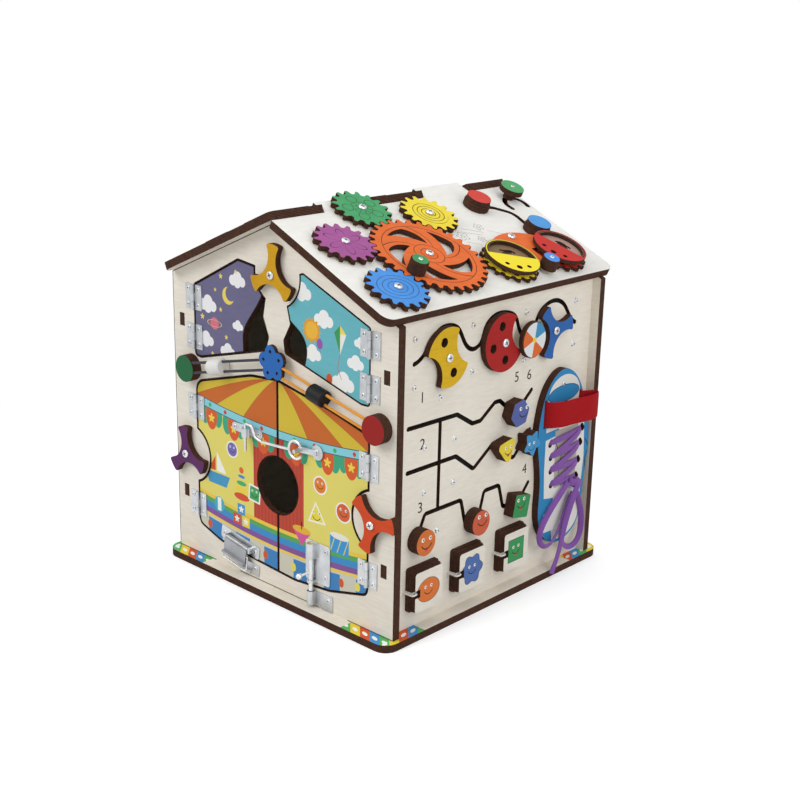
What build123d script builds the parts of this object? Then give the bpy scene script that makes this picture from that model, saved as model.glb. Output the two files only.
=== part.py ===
from build123d import *
from math import asin, atan2, cos, degrees, hypot, radians, sin, tan
import os

# A plywood play house: four doors and their latches on the front gable, a maze
# wall with a lacing shoe on the right side, and a gear train on the right roof
# panel.  Millimetres, +Z up, origin at the centre of the base plate's underside.

# ---------------------------------------------------------------- house shell
BASE_WIDTH = 330
BASE_DEPTH = 340
BASE_PLY = 8
BASE_CORNER = 15
GABLE_WIDTH = 320
GABLE_DEPTH = 310
WALL_PLY = 8
SIDE_FACE = 150
FACE_PLY = 4
BACKING_PLY = 6
RIDGE_HEIGHT = 392
EAVE_HEIGHT = 320
ROOF_LENGTH = 340
ROOF_PLY = 8
EAVE_CORNER = 11
RIDGE_CUTS = (-102.4, -33.2, 38.8, 109.0)
JOINT_GAP = 0.3
FINGER_NOTCH = 11.2
TAB_LENGTH = 40
GABLE_TABS = (-80, 80)
SIDE_TABS = (-70, 70)
END_TAB_HEIGHTS = (75, 263)
END_TAB_SPAN = 12
END_TAB_PLY = 6
TILE_LENGTH = 60
TILE_WIDTH = 50
TILE_PLY = 4
TILE_COLUMNS = (-110, 0, 110)
TILE_ROWS = (-52, -118)

# ---------------------------------------------------------------- doors and hinges
DOOR_PLY = 6
KERF = 1.0
DOOR_GAP = 1.3
DOOR_MEET = -0.3
HINGE_LINE = 125.5
HINGE_HEIGHT = 26
HINGE_LEAF = 12.5
LEAF_THICK = 1.0
KNUCKLE_R = 2.0
KNUCKLE_OFF = 2.4
LEAF_START = 2.3
PIN_R = 0.8
PIN_CLEARANCE = 0.06
UPPER_FOOT = 228.0
DRAWN_RIDGE = 392.0


def lift(height):
    """A height on the upper doors, drawn for one ridge height, that follows the ridge."""
    return UPPER_FOOT + (height - UPPER_FOOT) * (RIDGE_HEIGHT - UPPER_FOOT) / (DRAWN_RIDGE - UPPER_FOOT)


UPPER_HINGES = (lift(249.0), lift(290.0))
LOWER_HINGES = (66.0, 173.5)
LOOK_HOLE_R = 30
LOOK_HOLE = (-1, 120)

# ---------------------------------------------------------------- turning pieces
RUNNING_GAP = 0.3
SHANK_R = 2.0
SHANK_CLEARANCE = 0.08
WASHER_R = 5.0
WASHER_THICK = 0.8
HEAD_R = 4.2
HEAD_HEIGHT = 2.0
TURNER_REACH = 29.5
TURNER_PLY = 6.4
TURNER_BITE_R = 22.0
TURNER_BITE_AT = 31.5
TURNER_ROOM = 1.5
TOP_TURNER_ROOM = 3.0
TURNER_DROP = 58.5
TOP_TURNER = (0, RIDGE_HEIGHT - TURNER_DROP)
LEFT_TURNER = (-136.5, 120.2)
RIGHT_TURNER = (135.6, 120.6)

# ---------------------------------------------------------------- elastics and beads
DISC_R = 14.0
DISC_THICK = 11.0
GREEN_DISC = (-131.0, 215.0)
RED_DISC = (139.7, 214.5)
FLOWER = (3.6, 248.6)
FLOWER_R = 18.0
FLOWER_FOOT = 7.0
FLOWER_PLY = 4.0
STRAND_R = 1.3
STRAND_OFF = 9.0
STRAND_SPREAD = 5.0
STRAND_CLEARANCE = 0.1
NAVY_END = (-7.0, 244.8)
ORANGE_END = (9.5, 243.0)
BEAD_R = 8.4
BEAD_LENGTH = 20.0
BEAD_X = {"white_bead": -80.0, "black_bead": 66.7}

# ---------------------------------------------------------------- latches
HOOK_WIRE_R = 1.5
HOOK_AXIS = (-41.0, 7.0)
HOOK_RING = (33.0, 168.0)
HOOK_RING_R = 9.0
BOLT_AXIS = (52.0, 4.2)
BOLT_R = 2.5
BOLT_CLEARANCE = 0.08
BOLT_TOP = 76.0
BOLT_END = 26.1
KEEPER_TOP = 25.5
KEEPER_HEIGHT = 14.0
KEEPER_CLEARANCE = 0.6
KEEPER_PLATE = 1.0
RIVET_GAP = 0.1
BOLT_PLATE_TOP = 77.0
LOWER_GUIDE = 34.6
LOWER_GUIDE_HEIGHT = 2.4
LATCH_CENTRE = (-58.5, 41.5)
LATCH_TILT = -9.0
LATCH_PIVOT_OFF = 4.0
LEVER_WIDTH = 34.0
LEVER_DROP = 17.0
BAIL_DROP = 8.0
BAIL_OFF = 5.9
BAIL_R = 0.8
BAIL_REACH = 18.5

# ---------------------------------------------------------------- gear train
BIG_TEETH = 32
SMALL_TEETH = 16
BIG_PITCH_R = 57.3
ADDENDUM = 2.4
DEDENDUM = 3.2
TOOTH_TIP = 3.0
TOOTH_FOOT = 6.8
GEAR_PLY = 5.4
BIG_GEAR = (-51.0, -106.0)
GEAR_BEARINGS = {"blue_gear": -155.0, "purple_gear": 153.1, "green_gear": 98.3, "yellow_gear": 45.0}
WINDOW_INNER_R = 19.5
WINDOW_OUTER_R = 43.5
WINDOW_START = -20.0
CRANK_R = 9.0
CRANK_HEIGHT = 14.0
CRANK_AT = (45.0, -152.0)

# ---------------------------------------------------------------- wheels and rocker
YELLOW_WHEEL = (34.5, -139.0)
RED_WHEEL = (111.5, -139.0)
WHEEL_PLY = 3.2
WHEEL_HUB_R = 18.0
WHEEL_GLUE = 0.1
WHEEL_FLOOR_R = 26.5
WHEEL_FLOOR_OFF = 7.2
WHEEL_FLOOR_PLY = 1.6
WHEEL_CAP_R = 28.5
WHEEL_CAP_PLY = 4.0
WHEEL_WINDOW_R = 25.0
ROCKER_PIVOT = (73.0, -105.0)
ROCKER_KNOB = (73.0, -158.0)
ROCKER_OFF = 4.7
ROCKER_PLY = 2.2
ROCKER_ARM = 14.0
ROCKER_KNOB_R = 9.0
ROCKER_KNOB_HEIGHT = 10.0

# ---------------------------------------------------------------- roof sliders
TRACK_WIDTH = 6.0
TRACK_DEPTH = 5.0
TRACK_PEG_R = 2.7
TRACK = ((90.0, -39.0), (112.0, -45.0), (130.0, -60.0), (127.0, -98.0))
ARCH_CENTRE = (151.0, -47.0)
ARCH_R = 14.0
PUCK_R = 13.0
PUCK_FOOT_R = 14.2
PUCK_OFF = 0.4
PUCK_PLY = 6.0

# ---------------------------------------------------------------- maze wall
GROOVE = 4.6
PEG_R = 2.1
PEG_DEPTH = 3.6
GROOVE_TOP = ((-130, 210), (-62, 209), (-39, 195), (-27, 195), (-6, 209), (2, 209), (22, 193), (32, 193.5), (52, 210))
GROOVE_MID = ((-130, 167), (-62, 167), (-35, 147.5), (-6, 167), (27, 143), (52, 168))
GROOVE_LOW = (
    (-116, 95), (-104, 119.5), (-52, 119.5), (-45, 94), (-24, 94),
    (-17, 119.5), (6, 119.5), (14, 94), (40, 94), (54, 110),
)
GROOVE_LINK = ((-86, 209), (-86, 120))
GROOVE_WAVE = (
    (-124, 270.5), (-108, 280.5), (-99, 291), (-88, 298), (-77, 298.6), (-65, 294), (-58, 284), (-52, 275),
    (-42, 269.6), (-31.5, 273.6), (-25, 287.5), (-10, 297.6), (6, 297.3), (21, 290), (26.4, 278.6), (34, 267.7),
    (42.5, 258.2), (55, 283), (69.5, 295), (85, 297), (99, 290.6), (108, 279), (119.6, 268.8),
)
SLIDER_R = 13.5
SLIDER_OFF = 0.4
SLIDER_PLY = 12.0
SPINNER_R = 29.0
SPINNER_PLY = 6.4
SPINNER_HOLE_R = 4.6
YELLOW_SPINNER = (-85.0, 270.8)
RED_SPINNER = (-3.5, 270.3)
BLUE_SPINNER = (77.3, 268.4)
BALL = (34.0, 267.7)
BALL_R = 18.5
BALL_OFF = 9.2
BALL_PLY = 5.3
PANEL_SCREWS = (
    (-123.9, 293.8), (-43.5, 293), (37.5, 292.6), (118.5, 291.5), (-123.5, 248), (-43, 247.7), (37.2, 244.5),
    (118, 246), (-87.5, 231.4), (-65, 186), (-107, 187), (-65.3, 141.8), (-106.5, 141.8), (-86, 97.8),
)
PANEL_SCREW_R = 3.0

# ---------------------------------------------------------------- flip cards
CARD_LEFTS = {"orange_card": -129.0, "blue_card": -65.5, "green_card": 3.5}
CARD_BOTTOM = 26.0
CARD_WIDTH = 42.0
CARD_HEIGHT = 45.0
CARD_PLY = 4.1
COVER_WIDTH = 38.5
COVER_HEIGHT = 41.0
COVER_PLY = 4.0
TIE_HEIGHT = 47.5
TIE_R = 0.9

# ---------------------------------------------------------------- shoe
SHOE_PLY = 8.0
SHOE_OUTLINE = (
    (57.0, 165.0), (62.0, 190.0), (73.0, 212.0), (95.0, 225.0), (118.0, 214.0), (132.0, 191.0), (142.0, 162.0),
    (145.8, 135.0), (142.5, 105.0), (139.5, 75.0), (133.0, 48.0), (102.0, 32.5), (72.0, 48.0), (63.5, 72.0),
    (64.0, 100.0), (61.0, 130.0),
)
STRAP_WIDTH = 28.0
STRAP_BOTTOM = 168.0
STRAP_THICK = 1.8
STRAP_ROUTE = ((66.5, 2.0), (67.0, 9.5), (74.0, 16.5), (100.0, 22.0), (133.0, 24.5), (138.5, 20.0), (131.0, 12.5), (126.0, 9.0), (125.5, 2.0))
EYELETS = ((79, 148), (81, 133), (82, 118), (84, 102), (133, 154), (131, 138), (129, 119), (127, 101))
LACE_WIDTH = 7.0
LACE_THICK = 2.2
LACE_R = 2.2
KNOT = (122.0, 96.0)
KNOT_HEIGHT = 7.0
LACE_FRONT_LOOP = (
    (12.8, 107.0, 99.3), (13.4, 90, 87), (14, 72.5, 73.5), (14, 59.5, 56.8), (14, 60.6, 44.4), (14, 70.2, 36.5),
    (14, 82.6, 37.6), (14, 94.5, 51.8), (13.4, 103, 70), (12.8, 114.2, 87.6),
)
LACE_BACK_LOOP = (
    (11, 126, 82.5), (11, 138, 59.5), (11, 138, 32), (11, 128, 22), (11, 114, 22), (11, 104, 32), (11, 104, 58),
    (11, 118.5, 82.5),
)
LACE_TAIL = ((17.6, 118, 95), (19, 107, 80), (19, 98.5, 62), (19, 93, 42), (19, 88, 23), (19.4, 77, 6))


# ---------------------------------------------------------------- derived frame
half_gable = GABLE_WIDTH / 2
fall = (RIDGE_HEIGHT - EAVE_HEIGHT) / half_gable
slope = atan2(RIDGE_HEIGHT - EAVE_HEIGHT, half_gable)
slope_length = hypot(RIDGE_HEIGHT - EAVE_HEIGHT, half_gable)
apex = RIDGE_HEIGHT - ROOF_PLY / cos(slope)
finger_reach = ROOF_PLY * (1 / sin(2 * slope) - 1 / tan(2 * slope)) + ROOF_PLY * tan(slope) - JOINT_GAP
inner_depth = GABLE_DEPTH - 2 * WALL_PLY
maze_top = apex - SIDE_FACE * fall
backing_top = apex - (SIDE_FACE - FACE_PLY) * fall
small_pitch_r = BIG_PITCH_R * SMALL_TEETH / BIG_TEETH
seat = WASHER_THICK + RUNNING_GAP

front = Plane(origin=(0, -GABLE_DEPTH / 2, 0), x_dir=(1, 0, 0), z_dir=(0, -1, 0))
back = Plane(origin=(0, GABLE_DEPTH / 2, 0), x_dir=(-1, 0, 0), z_dir=(0, 1, 0))
side = Plane(origin=(SIDE_FACE, 0, 0), x_dir=(0, 1, 0), z_dir=(1, 0, 0))
left_side = Plane(origin=(-SIDE_FACE, 0, 0), x_dir=(0, -1, 0), z_dir=(-1, 0, 0))
roof = Plane(origin=(0, 0, RIDGE_HEIGHT), x_dir=(0, 1, 0), z_dir=(sin(slope), 0, cos(slope)))
left_roof = Plane(origin=(0, 0, RIDGE_HEIGHT), x_dir=(0, -1, 0), z_dir=(-sin(slope), 0, cos(slope)))

os.makedirs("parts", exist_ok=True)


def save(builder, name):
    """Label a finished piece and write it."""
    builder.part.label = name
    export_step(builder.part, f"parts/{name}.step")


def polar(centre, radius, angle):
    """The point at a radius and an angle in degrees from a centre."""
    return (centre[0] + radius * cos(radians(angle)), centre[1] + radius * sin(radians(angle)))


def pivot(plane, centre, top, depth=5.0, foot=WASHER_THICK, foot_r=WASHER_R):
    """Washer, shank and chamfered head of a pivot screw whose piece ends at top."""
    with BuildPart() as screw:
        with BuildSketch(plane):
            with Locations(centre):
                Circle(foot_r)
        extrude(amount=foot)
        with BuildSketch(plane.offset(-depth)):
            with Locations(centre):
                Circle(SHANK_R)
        extrude(amount=depth + top + RUNNING_GAP)
        with BuildSketch(plane.offset(top + RUNNING_GAP)):
            with Locations(centre):
                Circle(HEAD_R)
        extrude(amount=HEAD_HEIGHT)
        head = screw.faces().sort_by(Axis(plane.origin, plane.z_dir))[-1]
        chamfer(head.edges(), 1.1)
    return screw.part


def holes(plane, centres, depth, radius=SHANK_R):
    """Blind holes into a face, for taking out of a piece."""
    with BuildPart() as bores:
        with BuildSketch(plane):
            with Locations(*centres):
                Circle(radius)
        extrude(amount=-depth)
    return bores.part


def gear_outline(centre, teeth, pitch_r, phase):
    """Corner points of a straight-flanked gear with one tooth at the phase angle."""
    points = []
    for tooth in range(teeth):
        middle = phase + tooth * 360 / teeth
        foot = degrees(asin(TOOTH_FOOT / 2 / (pitch_r - DEDENDUM)))
        tip = degrees(asin(TOOTH_TIP / 2 / (pitch_r + ADDENDUM)))
        points.append(polar(centre, pitch_r - DEDENDUM, middle - foot))
        points.append(polar(centre, pitch_r + ADDENDUM, middle - tip))
        points.append(polar(centre, pitch_r + ADDENDUM, middle + tip))
        points.append(polar(centre, pitch_r - DEDENDUM, middle + foot))
    return points


def turner_sketch(centre, reach, arms):
    """A three-armed turn button: a disc with a bite between each pair of arms."""
    with BuildSketch() as outline:
        with Locations(centre):
            Circle(reach)
        for arm in arms:
            with Locations(polar(centre, TURNER_BITE_AT, arm + 60)):
                Circle(TURNER_BITE_R, mode=Mode.SUBTRACT)
        fillet(outline.vertices(), 2.0)
        with Locations(centre):
            Circle(SHANK_R + SHANK_CLEARANCE, mode=Mode.SUBTRACT)
    return outline.sketch


def rope(points, radii, radius):
    """A round cord along straight runs joined by tangent arcs."""
    with BuildPart() as cord:
        with BuildLine() as route:
            FilletPolyline(*points, radius=radii)
        with BuildSketch(Plane(origin=route.line @ 0, z_dir=route.line % 0)):
            Circle(radius)
        sweep()
    return cord.part


def bend_radii(points, share=0.45):
    """For each inner corner, the arc that uses a share of the shorter run beside it."""
    radii = []
    for a, b, c in zip(points, points[1:], points[2:]):
        before = Vector(b) - Vector(a)
        after = Vector(c) - Vector(b)
        turn = radians(before.get_angle(after))
        radii.append(share * min(before.length, after.length) / tan(turn / 2))
    return radii


# ---------------------------------------------------------------- base plate
with BuildPart() as base_plate:
    with BuildSketch():
        RectangleRounded(BASE_WIDTH, BASE_DEPTH, BASE_CORNER)
        with Locations(*[(x, y) for x in GABLE_TABS for y in (-GABLE_DEPTH / 2 + 4, GABLE_DEPTH / 2 - 4)]):
            Rectangle(TAB_LENGTH, WALL_PLY, mode=Mode.SUBTRACT)
        with Locations(*[(-SIDE_FACE + WALL_PLY / 2, y) for y in SIDE_TABS]):
            Rectangle(WALL_PLY, TAB_LENGTH, mode=Mode.SUBTRACT)
        with Locations(*[(SIDE_FACE - FACE_PLY - BACKING_PLY / 2, y) for y in SIDE_TABS]):
            Rectangle(BACKING_PLY, TAB_LENGTH, mode=Mode.SUBTRACT)
    extrude(amount=BASE_PLY)
save(base_plate, "base_plate")


# ---------------------------------------------------------------- door openings
with BuildSketch() as upper_left_opening:
    with BuildLine():
        FilletPolyline(
            (-HINGE_LINE, 229.0), (-HINGE_LINE, lift(303.3)), (-56.5, lift(339.3)), (-30.5, lift(336.5)),
            (-16.5, lift(309.0)), (-20.5, lift(288.5)), (-12.4, lift(269.8)), (-17.0, lift(255.0)), (-116.0, 228.2),
            radius=4, close=True,
        )
    make_face()
    with Locations(TOP_TURNER):
        Circle(TURNER_REACH + TOP_TURNER_ROOM - KERF, mode=Mode.SUBTRACT)

with BuildSketch() as upper_right_opening:
    with BuildLine():
        FilletPolyline(
            (HINGE_LINE, 230.5), (HINGE_LINE, lift(305.0)), (36.4, lift(340.6)), (20.5, lift(334.5)),
            (12.0, lift(311.0)), (18.3, lift(288.0)), (8.7, lift(271.0)), (10.5, lift(257.5)), (42.0, 249.5), (114.0, 230.2),
            radius=4, close=True,
        )
    make_face()
    with Locations(TOP_TURNER):
        Circle(TURNER_REACH + TOP_TURNER_ROOM - KERF, mode=Mode.SUBTRACT)

with BuildSketch() as lower_opening:
    with BuildLine():
        FilletPolyline(
            (-HINGE_LINE, 44.0), (-HINGE_LINE, 201.5), (-39.1, 226.0), (0.0, 229.5), (73.2, 216.4),
            (HINGE_LINE, 203.5), (HINGE_LINE, 43.5), (74.1, 30.4), (24.0, 25.6), (-32.0, 28.7), (-90.3, 33.0),
            radius=[10, 14, 40, 30, 40, 14, 8, 40, 40, 40, 40], close=True,
        )
    make_face()
    with Locations(LEFT_TURNER, RIGHT_TURNER):
        Circle(TURNER_REACH + TURNER_ROOM, mode=Mode.SUBTRACT)


# ---------------------------------------------------------------- gable walls
with BuildSketch() as gable:
    with BuildLine():
        Polyline(
            (-half_gable, BASE_PLY), (half_gable, BASE_PLY), (half_gable, apex - half_gable * fall), (0, apex),
            (-half_gable, apex - half_gable * fall), close=True,
        )
    make_face()
    with Locations(*[(x, BASE_PLY / 2) for x in GABLE_TABS]):
        Rectangle(TAB_LENGTH, BASE_PLY)
    with Locations(*[(x, z) for x in (-146, 146) for z in END_TAB_HEIGHTS]):
        Rectangle(END_TAB_PLY, END_TAB_SPAN, mode=Mode.SUBTRACT)

front_pivots = (TOP_TURNER, LEFT_TURNER, RIGHT_TURNER)
with BuildPart() as front_wall:
    with BuildSketch(front):
        add(gable.sketch_local)
        add(upper_left_opening.sketch_local, mode=Mode.SUBTRACT)
        add(upper_right_opening.sketch_local, mode=Mode.SUBTRACT)
        add(lower_opening.sketch_local, mode=Mode.SUBTRACT)
    extrude(amount=-WALL_PLY)
    add(holes(front, front_pivots, 5.0), mode=Mode.SUBTRACT)
save(front_wall, "front_wall")

with BuildPart() as back_wall:
    with BuildSketch(back):
        add(gable.sketch_local)
    extrude(amount=-WALL_PLY)
save(back_wall, "back_wall")


# ---------------------------------------------------------------- side walls
with BuildPart() as left_wall:
    with BuildSketch(left_side):
        with Locations((0, BASE_PLY)):
            Rectangle(inner_depth, maze_top - BASE_PLY, align=(Align.CENTER, Align.MIN))
        with Locations(*[(y, BASE_PLY / 2) for y in SIDE_TABS]):
            Rectangle(TAB_LENGTH, BASE_PLY)
    extrude(amount=-WALL_PLY)
    with BuildSketch(left_side.offset(-1)):
        with Locations(*[(y, z) for y in (-GABLE_DEPTH / 2 + 4, GABLE_DEPTH / 2 - 4) for z in END_TAB_HEIGHTS]):
            Rectangle(WALL_PLY, END_TAB_SPAN)
    extrude(amount=-END_TAB_PLY)
save(left_wall, "left_wall")

with BuildPart() as maze_backing:
    with BuildSketch(side.offset(-FACE_PLY)):
        with Locations((0, BASE_PLY)):
            Rectangle(inner_depth, backing_top - BASE_PLY, align=(Align.CENTER, Align.MIN))
        with Locations(*[(y, BASE_PLY / 2) for y in SIDE_TABS]):
            Rectangle(TAB_LENGTH, BASE_PLY)
    extrude(amount=-BACKING_PLY)
    with BuildSketch(side.offset(-FACE_PLY)):
        with Locations(*[(y, z) for y in (-GABLE_DEPTH / 2 + 4, GABLE_DEPTH / 2 - 4) for z in END_TAB_HEIGHTS]):
            Rectangle(WALL_PLY, END_TAB_SPAN)
    extrude(amount=-END_TAB_PLY / 2)
    spinner_places = (YELLOW_SPINNER, RED_SPINNER, BLUE_SPINNER)
    add(holes(side.offset(-FACE_PLY), spinner_places, 3.0), mode=Mode.SUBTRACT)
save(maze_backing, "maze_backing")

with BuildSketch() as grooves:
    for line in (GROOVE_TOP, GROOVE_MID, GROOVE_LOW):
        with BuildLine():
            FilletPolyline(*line, radius=4)
        trace(line_width=GROOVE)
        with Locations(line[0], line[-1]):
            Circle(GROOVE / 2)
    with BuildLine():
        Line(*GROOVE_LINK)
    trace(line_width=GROOVE)
    with BuildLine():
        Spline(*GROOVE_WAVE)
    trace(line_width=GROOVE)
    with Locations(GROOVE_WAVE[0], GROOVE_WAVE[-1]):
        Circle(GROOVE / 2)

with BuildPart() as maze_panel:
    with BuildSketch(side):
        with Locations((0, BASE_PLY)):
            Rectangle(inner_depth, maze_top - BASE_PLY, align=(Align.CENTER, Align.MIN))
        add(grooves.sketch_local, mode=Mode.SUBTRACT)
    extrude(amount=-FACE_PLY)
    with BuildSketch(side.offset(-1)):
        with Locations(*[(y, z) for y in (-GABLE_DEPTH / 2 + 4, GABLE_DEPTH / 2 - 4) for z in END_TAB_HEIGHTS]):
            Rectangle(WALL_PLY, END_TAB_SPAN)
    extrude(amount=-END_TAB_PLY / 2)
    add(holes(side, spinner_places, FACE_PLY), mode=Mode.SUBTRACT)
save(maze_panel, "maze_panel")

# ---------------------------------------------------------------- roof
def roof_outline(own_tabs):
    """A roof panel from the eave to the ridge, with its own fingers and notches."""
    stations = [-ROOF_LENGTH / 2, *RIDGE_CUTS, ROOF_LENGTH / 2]
    with BuildSketch() as outline:
        with Locations((0, -slope_length)):
            Rectangle(ROOF_LENGTH, slope_length - FINGER_NOTCH, align=(Align.CENTER, Align.MIN))
        fillet(outline.vertices().group_by(Axis.Y)[0], EAVE_CORNER)
        for index, (start, end) in enumerate(zip(stations, stations[1:])):
            if index in own_tabs:
                with Locations(((start + end) / 2, -FINGER_NOTCH)):
                    Rectangle(
                        end - start - JOINT_GAP, FINGER_NOTCH + finger_reach, align=(Align.CENTER, Align.MIN)
                    )
    return outline.sketch


gear_places = {name: polar(BIG_GEAR, BIG_PITCH_R + small_pitch_r, b) for name, b in GEAR_BEARINGS.items()}
roof_pivot_places = [BIG_GEAR, *gear_places.values(), YELLOW_WHEEL, RED_WHEEL, ROCKER_PIVOT]
ARCH_ENDS = (200.0, -20.0)

with BuildPart() as roof_right:
    with BuildSketch(roof):
        add(roof_outline((1, 3)))
    extrude(amount=-ROOF_PLY)
    with BuildSketch(roof):
        with BuildLine():
            FilletPolyline(*TRACK, radius=[14, 14])
        trace(line_width=TRACK_WIDTH)
        with Locations(TRACK[0], TRACK[-1]):
            Circle(TRACK_WIDTH / 2)
    extrude(amount=-TRACK_DEPTH, mode=Mode.SUBTRACT)
    with BuildSketch(roof):
        with BuildLine():
            CenterArc(ARCH_CENTRE, ARCH_R, ARCH_ENDS[1], ARCH_ENDS[0] - ARCH_ENDS[1])
        trace(line_width=TRACK_WIDTH)
        with Locations(*[polar(ARCH_CENTRE, ARCH_R, end) for end in ARCH_ENDS]):
            Circle(TRACK_WIDTH / 2)
    extrude(amount=-TRACK_DEPTH, mode=Mode.SUBTRACT)
    add(holes(roof, roof_pivot_places, 5.0), mode=Mode.SUBTRACT)
save(roof_right, "roof_right")

with BuildPart() as roof_left:
    with BuildSketch(left_roof):
        add(roof_outline((0, 2, 4)).mirror(Plane.YZ))
    extrude(amount=-ROOF_PLY)
    for layer, inset in ((0, 0), (1, 5)):
        with BuildSketch(left_roof.offset(layer * TILE_PLY)):
            with Locations(*[(y, s) for y in TILE_COLUMNS for s in TILE_ROWS]):
                RectangleRounded(TILE_LENGTH - inset, TILE_WIDTH - inset, 6)
        extrude(amount=TILE_PLY)
save(roof_left, "roof_left")


# ---------------------------------------------------------------- hinges
def hinge(centre_z, hand, moving):
    """One half of a butt hinge: leaf, knuckles and, on the fixed half, the pin."""
    axis_x = hand * HINGE_LINE
    reach = -hand if moving else hand
    third = HINGE_HEIGHT / 3
    if moving:
        knuckles = [(centre_z - third / 2 + JOINT_GAP / 2, third - JOINT_GAP)]
    else:
        knuckles = [
            (centre_z - HINGE_HEIGHT / 2, third - JOINT_GAP / 2),
            (centre_z + third / 2 + JOINT_GAP / 2, third - JOINT_GAP / 2),
        ]
    web_start = 0.9 if moving else 0.3
    with BuildPart() as half:
        with BuildSketch(front):
            with Locations((axis_x + reach * (LEAF_START + HINGE_LEAF) / 2, centre_z)):
                Rectangle(HINGE_LEAF - LEAF_START, HINGE_HEIGHT)
            for bottom, length in knuckles:
                with Locations((axis_x + reach * (web_start + LEAF_START + 1) / 2, bottom + length / 2)):
                    Rectangle(LEAF_START + 1 - web_start, length)
        extrude(amount=LEAF_THICK)
        for bottom, length in knuckles:
            with BuildSketch(Plane.XY.offset(bottom)):
                with Locations((axis_x, -GABLE_DEPTH / 2 - KNUCKLE_OFF)):
                    Circle(KNUCKLE_R)
                    if moving:
                        Circle(PIN_R + PIN_CLEARANCE, mode=Mode.SUBTRACT)
            extrude(amount=length)
        if not moving:
            with BuildSketch(Plane.XY.offset(centre_z - HINGE_HEIGHT / 2)):
                with Locations((axis_x, -GABLE_DEPTH / 2 - KNUCKLE_OFF)):
                    Circle(PIN_R)
            extrude(amount=HINGE_HEIGHT)
    return half.part




# ---------------------------------------------------------------- upper doors
with BuildPart() as upper_left_door:
    with BuildSketch(front):
        add(upper_left_opening.sketch_local)
        offset(amount=-KERF, mode=Mode.REPLACE)
        with BuildLine():
            Spline(
                (-20, lift(312)), (-27, lift(300)), (-40, lift(283)), (-49.2, lift(266.6)), (-49.6, lift(247.8)),
                (-52, 238),
            )
            Polyline((-52, 238), (0, 238), (0, lift(312)), (-20, lift(312)))
        make_face(mode=Mode.SUBTRACT)
    extrude(amount=-DOOR_PLY)
save(upper_left_door, "upper_left_door")

with BuildPart() as upper_right_door:
    with BuildSketch(front):
        add(upper_right_opening.sketch_local)
        offset(amount=-KERF, mode=Mode.REPLACE)
        with BuildLine():
            Spline(
                (11.4, lift(311)), (19.3, lift(290.9)), (33, lift(282)), (41.1, lift(267.8)), (38.7, lift(252.8)),
                (37, 240),
            )
            Polyline((37, 240), (0, 240), (0, lift(311)), (11.4, lift(311)))
        make_face(mode=Mode.SUBTRACT)
    extrude(amount=-DOOR_PLY)
save(upper_right_door, "upper_right_door")


# ---------------------------------------------------------------- lower doors
def lower_door(hand):
    """The half of the lower opening on one side of the meeting line."""
    with BuildPart() as door:
        with BuildSketch(front):
            add(lower_opening.sketch_local)
            offset(amount=-KERF, mode=Mode.REPLACE)
            with Locations((DOOR_MEET + hand * DOOR_GAP / 2, 0)):
                Rectangle(
                    200, 400, align=(Align.MIN if hand > 0 else Align.MAX, Align.MIN), mode=Mode.INTERSECT
                )
            with Locations(LOOK_HOLE):
                Circle(LOOK_HOLE_R, mode=Mode.SUBTRACT)
        extrude(amount=-DOOR_PLY)
    return door


lower_left_door = lower_door(-1)
save(lower_left_door, "lower_left_door")
lower_right_door = lower_door(1)
save(lower_right_door, "lower_right_door")

for door_name, hand, heights in (("upper_left", -1, UPPER_HINGES), ("upper_right", 1, UPPER_HINGES)):
    with BuildPart() as leaves:
        for height in heights:
            add(hinge(height, hand, moving=True))
    save(leaves, f"{door_name}_leaves")


# ---------------------------------------------------------------- wire hook
hook_y = -GABLE_DEPTH / 2 - HOOK_AXIS[1]
with BuildPart() as lower_left_fittings:
    for height in LOWER_HINGES:
        add(hinge(height, -1, moving=True))
    with BuildSketch(front):
        with Locations((HOOK_AXIS[0] - 4, 167)):
            SlotOverall(46, 9)
    extrude(amount=1.0)
    with BuildSketch(Plane.XY.offset(162.5)):
        with Locations((HOOK_AXIS[0], -GABLE_DEPTH / 2)):
            Rectangle(12, HOOK_AXIS[1], align=(Align.CENTER, Align.MAX))
        with Locations((HOOK_AXIS[0], hook_y)):
            Circle(3.4)
            Circle(HOOK_WIRE_R + BOLT_CLEARANCE, mode=Mode.SUBTRACT)
    extrude(amount=9.0)

    latch = Plane(
        origin=(LATCH_CENTRE[0], -GABLE_DEPTH / 2, LATCH_CENTRE[1]),
        x_dir=(cos(radians(LATCH_TILT)), 0, sin(radians(LATCH_TILT))), z_dir=(0, -1, 0),
    )
    across = Plane(origin=latch.origin, x_dir=(0, -1, 0), z_dir=-latch.x_dir)
    with BuildSketch(latch):
        RectangleRounded(60, 14, 3)
    extrude(amount=1.0)
    for lug in (-LEVER_WIDTH / 2 - 3.5, LEVER_WIDTH / 2 + 0.5):
        with BuildSketch(across.offset(lug)):
            with Locations((0.5, 0)):
                Rectangle(LATCH_PIVOT_OFF + 1.7, 5.5, align=(Align.MIN, Align.CENTER))
            with Locations((LATCH_PIVOT_OFF, 0)):
                Circle(1.06, mode=Mode.SUBTRACT)
        extrude(amount=3.0)
save(lower_left_fittings, "lower_left_fittings")

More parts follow.
